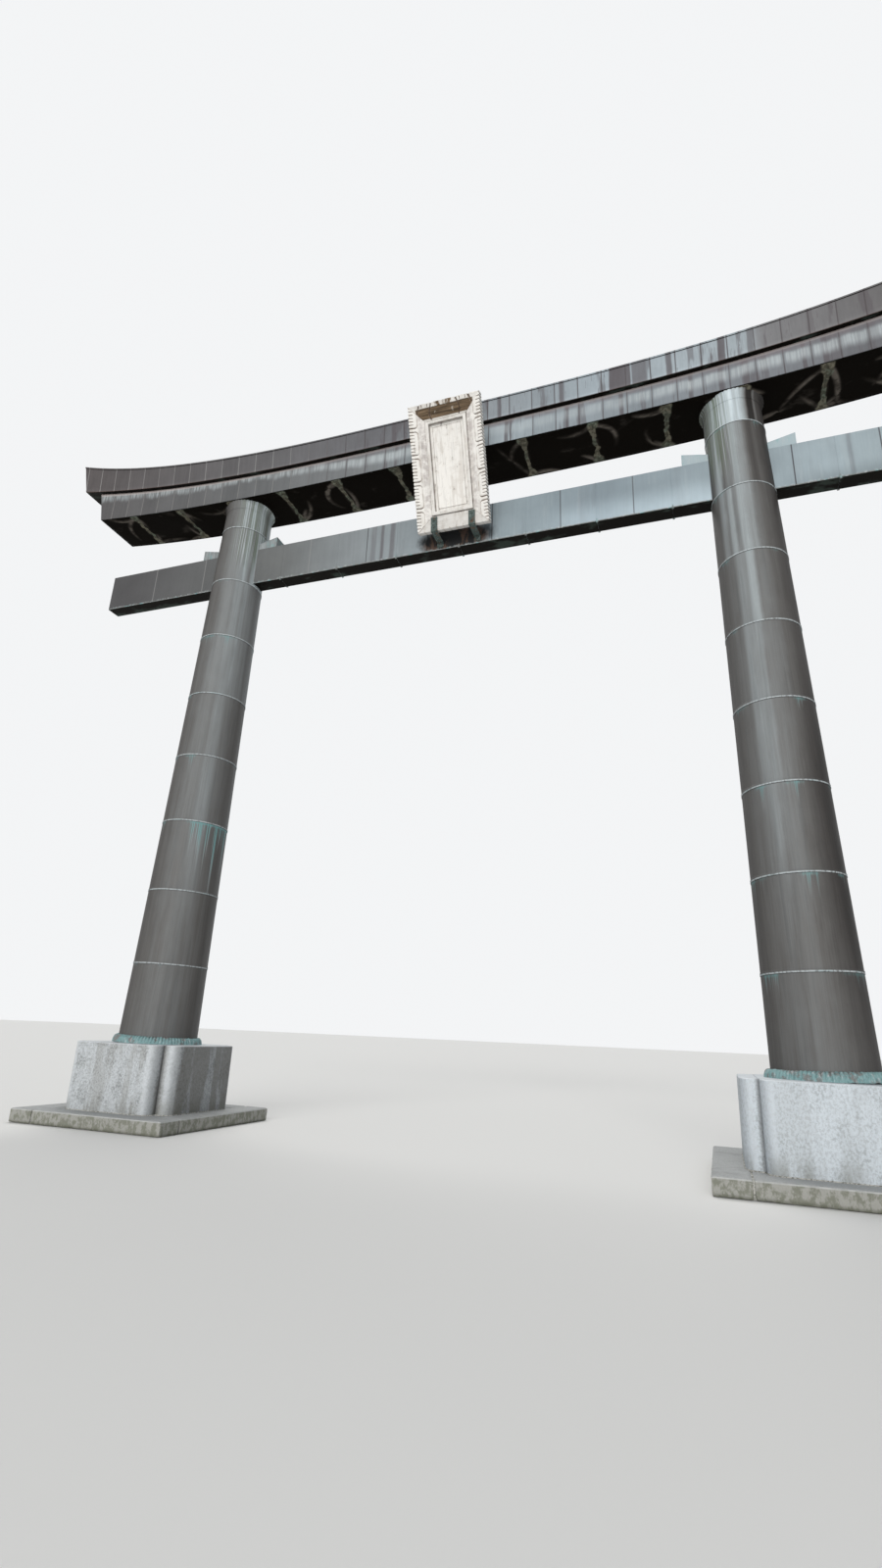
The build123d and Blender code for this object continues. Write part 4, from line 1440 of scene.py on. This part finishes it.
class GATE_OT_cap_wedges(PieceOperator):
    """Wrap each wedge in sheet, with a turned rim round its end"""
    bl_idname = "gate.cap_wedges"
    bl_label = "Cap wedges"

    def execute(self, context):
        finish = wedge_finish()
        for word, side in SIDES.items():
            for part, outward in (("outer_wedge", side), ("inner_wedge", -side)):
                node = f"{word}_{part}"
                dress(self.cap(node, outward), finish, replaced=(node,))
        return {"FINISHED"}

    def cap(self, node, outward):
        """A box cut to the wedge's slope, with rims turned in round its end and its two sides."""
        low, high = BOXES[node]
        tip, heel = (high.x, low.x) if outward > 0 else (low.x, high.x)
        near = 0.001
        cap = fresh_box(f"{node}_sheet", low, high)
        for point in cap.data.vertices:
            if abs(point.co.x - heel) < near and point.co.z > middle_of(node).z:
                point.co.z = top_of(node, heel + outward * 0.002)
        choose(cap, lambda middle: abs(middle.x - tip) < near)
        bpy.ops.mesh.inset(thickness=0.016, depth=0)
        bpy.ops.mesh.inset(thickness=0.004, depth=-0.007)
        choose(cap, lambda middle: abs(abs(middle.y) - high.y) < near)
        bpy.ops.mesh.inset(thickness=0.014, depth=0)
        bpy.ops.mesh.inset(thickness=0.003, depth=-0.0025)
        settle(cap)
        ease_edges(cap, 0.003)
        return cap


def hewn_block(name, low, high, spacing, roughness, arris, seed):
    """A stone cut to a box: worn arrises and uneven faces, kept inside the box."""
    low, high = Vector(low), Vector(high)
    block = fresh_box(name, low, high)
    for axis in range(3):
        choose(block, lambda middle: low[axis] + 1e-4 < middle[axis] < high[axis] - 1e-4, "edges")
        bpy.ops.mesh.subdivide(number_cuts=max(1, int((high - low)[axis] / spacing) - 1))
    bpy.ops.object.mode_set(mode="OBJECT")
    margin = Vector((arris,) * 3)
    for point in block.data.vertices:
        place = point.co.copy()
        bounds = zip(place, low + margin, high - margin)
        inner = Vector([min(max(value, least), most) for value, least, most in bounds])
        away = (place - inner).normalized()
        dent = noise.fractal(place * 7 + Vector((seed, 0, 0)), 0.8, 2.2, 4) * 0.5 + 0.5
        chip = max(0.0, noise.noise(place * 16 + Vector((0, seed, 0))) - 0.25) * 2
        level = 0.25 if away.z > 0.9 else 1.0
        point.co = inner + away * (arris - roughness * level * min(1.5, dent + chip * (1 - max(away)) * 1.6))
    return block


class GATE_OT_lay_stones(PieceOperator):
    """Lay the plinths' kerbs and beds, and the mortar under the pedestals"""
    bl_idname = "gate.lay_stones"
    bl_label = "Lay stones"

    def execute(self, context):
        stone = kerb_finish()
        mortar = mortar_finish()
        for word, side in SIDES.items():
            node = f"{word}_plinth"
            kerbs = join_all(self.stones(node, side, context.scene.gate_sizes), f"{word}_kerbs")
            filling = join_all(self.filling(word, node), f"{word}_mortar")
            for piece in (kerbs, filling):
                piece.data.transform(Matrix.Translation(middle_of(node) * Vector((1, 1, 0))))
            dress(kerbs, stone, replaced=(node,), smooth=60)
            dress(filling, mortar, smooth=40)
        return {"FINISHED"}

    def stones(self, node, side, sizes):
        """Four kerb stones round a bed, each a quarter turn from the last."""
        top = BOXES[node][1].z
        reach = size_of(node).x / 2 - 0.0005
        bed = reach - sizes.kerb - sizes.stone_gap / 2
        stones = []
        for turn in range(4):
            low, high = (-bed, -reach, 0), (reach, -bed - sizes.stone_gap, top)
            seed = turn * 5.3 + side
            kerb = hewn_block("kerb", low, high, spacing=0.026, roughness=0.006, arris=0.016, seed=seed)
            kerb.data.transform(Matrix.Rotation(turn * pi / 2, 4, "Z"))
            stones.append(kerb)
        low, high = (-bed, -bed, 0), (bed, bed, top - 0.002)
        seed = side * 3.0
        stones.append(hewn_block("bed", low, high, spacing=0.05, roughness=0.003, arris=0.012, seed=seed))
        return stones

    def filling(self, word, node):
        """Mortar in the kerbs' joints, and the bed it makes under the pedestal."""
        top = BOXES[node][1].z
        reach = size_of(node).x / 2 - 0.0205
        low, high = (-reach, -reach, 0), (reach, reach, top - 0.012)
        mortar = [hewn_block("filling", low, high, spacing=0.06, roughness=0.003, arris=0.01, seed=8.0)]
        spread, rise = 0.010, 0.008
        wide, narrow = [size_of(f"{word}_pedestal_{part}").x / 2 + spread for part in ("slabs", "core")]
        for x, y in ((wide, narrow), (narrow, wide)):
            bed = fresh_box("bedding", (-x, -y, top - rise), (x, y, top + rise))
            choose(bed, lambda middle: abs(middle.z - top) < 0.001, "edges")
            bpy.ops.mesh.bevel(offset=0.18, segments=8)
            settle(bed)
            mortar.append(bed)
        return mortar


def rounded_gap(along, inward, half, depth, radius):
    """How far a spot lies inside a pillow with round inner corners; negative when outside."""
    side = half - abs(along)
    end = depth - inward
    if side < radius and end < radius:
        return radius - hypot(radius - side, radius - end)
    return min(side, end)


def frame_carving(word, along, inward, period):
    """How near a spot of a frame board is to a cut, and how far the wood swells there."""
    if word in ("left", "right"):
        along -= round(along / period) * period
        inside = rounded_gap(along, inward, half=period / 2 - 0.027, depth=0.118, radius=0.042)
        teeth, reach = (0.024, 0.071, 0.118), 0.062
        line, swell = 0.64 * abs(inside) + max(0.0, inward - 0.084) * 0.13, inside / 0.030
    elif word == "top":
        half, centre, sway = 0.095, 0.300, 0.020
        inside = half - abs(abs(along) - centre - sway * sin((inward / 0.17 - 0.35) * pi))
        teeth, reach = (0.245, 0.33, 0.37), 0.045
        line, swell = 0.50 * abs(inside), inside / 0.035
    else:
        along -= round(along / period) * period
        teeth, reach = (0.05, 0.15), 0.030
        line, swell = 1.0, 0.0
    narrow = min(1.15, 0.72 + 12 * inward)
    for tooth in teeth:
        line = min(line, narrow * hypot(abs(along) - tooth, max(0.0, inward - reach)))
    return line, max(0.0, min(1.0, swell)) ** 0.5


class GATE_OT_carve_board(PieceOperator):
    """Carve the four boards of the frame"""
    bl_idname = "gate.carve_board"
    bl_label = "Carve board"

    def execute(self, context):
        sides = side_timber()
        finishes = {"bottom": level_timber(), "right": sides, "top": bare_timber(), "left": sides}
        for turn, word in enumerate(FRAME_SIDES):
            piece = self.carve(context.scene.gate_sizes, turn, word)
            dress(piece, finishes[word], replaced=(f"board_frame_{word}",), smooth=50)
        return {"FINISHED"}

    def carve(self, sizes, turn, word):
        """One board, carved as a sheet that faces up and then closed and put at its place."""
        board = Board()
        run, other = (board.height, board.width) if turn % 2 else (board.width, board.height)
        steps = [int(reach / sizes.carving_grain) for reach in (run, board.rim)]
        piece = fresh(f"board_{word}", "grid", size=2, x_subdivisions=steps[0], y_subdivisions=steps[1])
        carving = piece.data.attributes.new("carving", "FLOAT", "POINT")
        share = 0.4 if word == "bottom" else 1.0
        groove_depth, rounding, gap_depth, hollow = 0.008, 0.004, 0.003, 0.007
        for number, point in enumerate(piece.data.vertices):
            inward = (point.co.y + 1) / 2 * board.rim
            along = point.co.x * (run / 2 - inward)
            mitre = (1 - abs(point.co.x)) * (run / 2 - inward)
            line, swell = frame_carving(word, along, inward, sizes.carving_period)
            cut = share * max(0.0, 1 - line / sizes.groove) ** 0.8 * min(1, mitre / 0.02)
            worn = 0.0012 * (1 + noise.noise(Vector((along * 3, inward * 60, turn))))
            edge = max(0.0, rounding - inward)
            seam = max(0.0, 1 - mitre / 0.004)
            depth = board.splay * inward / board.rim + groove_depth * cut + worn + edge
            depth += gap_depth * seam + hollow * (1 - swell)
            notch = groove_depth * cut * max(0.0, 1 - inward / 0.012)
            carving.data[number].value = max(cut, 0.6 * seam)
            point.co = Vector((along, inward + notch, -depth))
        close_sheet(piece, -board.back, flat=True)
        place = Matrix.Rotation(turn * pi / 2, 4, "Z") @ Matrix.Translation((0, -other / 2, 0))
        piece.data.transform(board.matrix @ place)
        return piece


class GATE_OT_mould_field(PieceOperator):
    """Raise the moulding round the board's field, with the thin line inside it"""
    bl_idname = "gate.mould_field"
    bl_label = "Mould field"

    def execute(self, context):
        board = Board()
        x, y = board.width / 2 - board.rim, board.height / 2 - board.rim
        piece = fresh_box("board_field", (-x, -y, -board.back), (x, y, -board.field))
        choose(piece, lambda middle: middle.z > -board.field - 0.001)
        wall = board.field - board.splay + 0.006
        lift = board.field - board.crest - wall
        roll = [(0.003, wall), (0.014, lift), (0.009, 0), (0.002, -0.005)]
        fall = [(0.002, 0.005), (0.009, 0), (0.014, -lift), (0.003, -wall)]
        fine_line = [(0.036, 0), (0.003, 0.006), (0.006, 0), (0.003, -0.006)]
        for thickness, depth in (*roll, (0.005, 0), *fall, *fine_line):
            bpy.ops.mesh.inset(thickness=thickness, depth=depth)
        settle(piece)
        ease_edges(piece, 0.0022)
        piece.data.transform(board.matrix)
        dress(piece, field_timber(), replaced=("board_panel", "board_moulding"))
        return {"FINISHED"}


class GATE_OT_drive_bolts(PieceOperator):
    """Bolt the straps to the board and the beam, and the stays' plates to the lintel"""
    bl_idname = "gate.drive_bolts"
    bl_label = "Drive bolts"

    def execute(self, context):
        board = Board()
        low, high = BOXES["board_brackets"]
        heights, beam_rise = (0.055, 0.165), 0.045
        strap = high.x - context.scene.gate_sizes.strap / 2
        slope = board.matrix.to_3x3() @ Vector((0, board.splay, board.rim))
        places = []
        for side in SIDES.values():
            for up in heights:
                start = board.matrix @ Vector((side * strap, up - board.height / 2, 1))
                places.append(self.facing(hit("board_brackets", start, -board.out), slope))
            spot = hit("board_brackets", (side * strap, -3, low.z + beam_rise), (0, 1, 0))
            places.append(self.facing(spot, Vector((0, -1, 0))))
            places += self.plate_corners(side)
        repeat(self.bolt(), places, "board_bolts", bpy.data.materials["strap_iron"])
        return {"FINISHED"}

    def plate_corners(self, side):
        """Four places on a plate, which lies on the lintel's face at the height of the bars there."""
        half, inset, thickness = 0.055, 0.036, 0.008
        x = BOXES["board_stays"][1].x - half
        face = BOXES["lower_lintel"][0].y
        level = top_of("board_stays", x, face - thickness / 2) - half
        middle = Vector((side * x, face - thickness, level))
        corners = [Vector((across, 0, up)) * inset for across in (-1, 1) for up in (-1, 1)]
        return [self.facing(middle + corner, Vector((0, -1, 0)), scale=0.5) for corner in corners]

    def facing(self, spot, normal, scale=1.0):
        """The matrix that takes a bolt to a spot, with its head along the normal."""
        turn = Vector((0, 0, 1)).rotation_difference(normal.normalized()).to_matrix().to_4x4()
        return Matrix.Translation(spot) @ turn @ Matrix.Scale(scale, 4)

    def bolt(self):
        """A six-sided head on a washer, its face towards +Z."""
        washer = fresh("washer", "cylinder", vertices=24, radius=0.020, depth=0.004, location=(0, 0, 0.001))
        head = fresh("head", "cylinder", vertices=6, radius=0.013, depth=0.012, location=(0, 0, 0.008))
        bolt = join_all([washer, head], "bolt")
        settle(bolt)
        ease_edges(bolt, 0.0012)
        return bolt


class GATE_OT_light_stage(PieceOperator):
    """Set the floor, the light and the camera"""
    bl_idname = "gate.light_stage"
    bl_label = "Light stage"

    def execute(self, context):
        stage = context.scene.gate_stage
        self.lay_floor()
        self.light(context, stage)
        self.aim(context, stage)
        return {"FINISHED"}

    def lay_floor(self):
        """Lay a plain pale floor, which isn't part of the gate."""
        floor_piece = fresh("floor", "plane", size=400)
        finish = Finish("studio_floor", roughness=0.9, gloss=0.1)
        finish.join(finish.colours.floor, finish.shader.inputs["Base Color"])
        floor_piece.data.materials.append(finish.material)

    def light(self, context, stage):
        """The world is pale where it is seen; a soft sun before the gate and a weaker one behind it."""
        world = bpy.data.worlds.new("studio")
        world.use_nodes = True
        context.scene.world = world
        world.node_tree.nodes.clear()
        nodes = Nodes(world.node_tree)
        kinds = ("Is Camera Ray", "Is Glossy Ray", "Is Transmission Ray")
        rays = [nodes.node("ShaderNodeLightPath", {}, {}, output=kind) for kind in kinds]
        seen = rays[0].most(rays[1]).most(rays[2])
        around = nodes.node("ShaderNodeBackground", {}, {"Color": (0.92, 0.96, 1.0), "Strength": stage.fill})
        behind = nodes.node("ShaderNodeBackground", {}, {"Color": (0.90, 0.91, 0.92), "Strength": 1.0})
        choice = nodes.node("ShaderNodeMixShader", {}, {0: seen, 1: around, 2: behind})
        nodes.node("ShaderNodeOutputWorld", {}, {"Surface": choice})
        self.shine(context, "key", stage.key, height=15, turn=4)
        self.shine(context, "back", stage.back, height=60, turn=-150)

    def shine(self, context, name, strength, height, turn):
        """A soft sun at this height, turned from the approach towards the right."""
        sun = bpy.data.lights.new(name, "SUN")
        sun.energy = strength
        sun.angle = radians(40)
        sun.color = (1.0, 0.98, 0.95)
        lamp = bpy.data.objects.new(name, sun)
        lamp.rotation_euler = (radians(90 - height), 0, radians(turn))
        context.scene.collection.objects.link(lamp)

    def aim(self, context, stage):
        """Put the camera at the photographer's place."""
        lens = bpy.data.cameras.new("view")
        lens.lens = stage.lens
        lens.sensor_width = 36
        lens.clip_end = 1000
        camera = bpy.data.objects.new("view", lens)
        level = Vector((cos(stage.yaw), sin(stage.yaw), 0))
        ahead = Vector((-sin(stage.yaw), cos(stage.yaw), 0))
        forward = ahead * cos(stage.pitch) + Vector((0, 0, sin(stage.pitch)))
        over = level.cross(forward)
        right = level * cos(stage.roll) + over * sin(stage.roll)
        up = over * cos(stage.roll) - level * sin(stage.roll)
        turn = Matrix((right, up, -forward)).transposed().to_4x4()
        camera.matrix_world = Matrix.Translation(stage.eye) @ turn
        context.scene.collection.objects.link(camera)
        context.scene.camera = camera
        context.scene.view_settings.view_transform = "Standard"


STEPS = (
    GATE_OT_clad_columns,
    GATE_OT_clad_beams,
    GATE_OT_fold_lintels,
    GATE_OT_fold_tie_beam,
    GATE_OT_hang_soffit,
    GATE_OT_fit_flashings,
    GATE_OT_fit_collars,
    GATE_OT_cap_wedges,
    GATE_OT_lay_stones,
    GATE_OT_carve_board,
    GATE_OT_mould_field,
    GATE_OT_drive_bolts,
    GATE_OT_light_stage,
)
GROUPS = {"gate_sizes": GateSizes, "gate_colours": GateColours, "gate_stage": GateStage}


class GATE_PT_panel(bpy.types.Panel):
    """The steps, sizes, colours and lights of the gate"""
    bl_label = "Gate"
    bl_idname = "GATE_PT_panel"
    bl_space_type = "VIEW_3D"
    bl_region_type = "UI"
    bl_category = "Gate"

    def draw(self, context):
        for step in STEPS:
            self.layout.operator(step.bl_idname)
        for name, group in GROUPS.items():
            for field in group.__annotations__:
                self.layout.prop(getattr(context.scene, name), field)


def register():
    for name, group in GROUPS.items():
        bpy.utils.register_class(group)
        setattr(bpy.types.Scene, name, PointerProperty(type=group))
    for step in (*STEPS, GATE_PT_panel):
        bpy.utils.register_class(step)


def unregister():
    for step in (GATE_PT_panel, *reversed(STEPS)):
        bpy.utils.unregister_class(step)
    for name, group in GROUPS.items():
        delattr(bpy.types.Scene, name)
        bpy.utils.unregister_class(group)


def main():
    register()
    for step in STEPS:
        group, name = step.bl_idname.split(".")
        getattr(getattr(bpy.ops, group), name)()


if __name__ == "__main__":
    main()
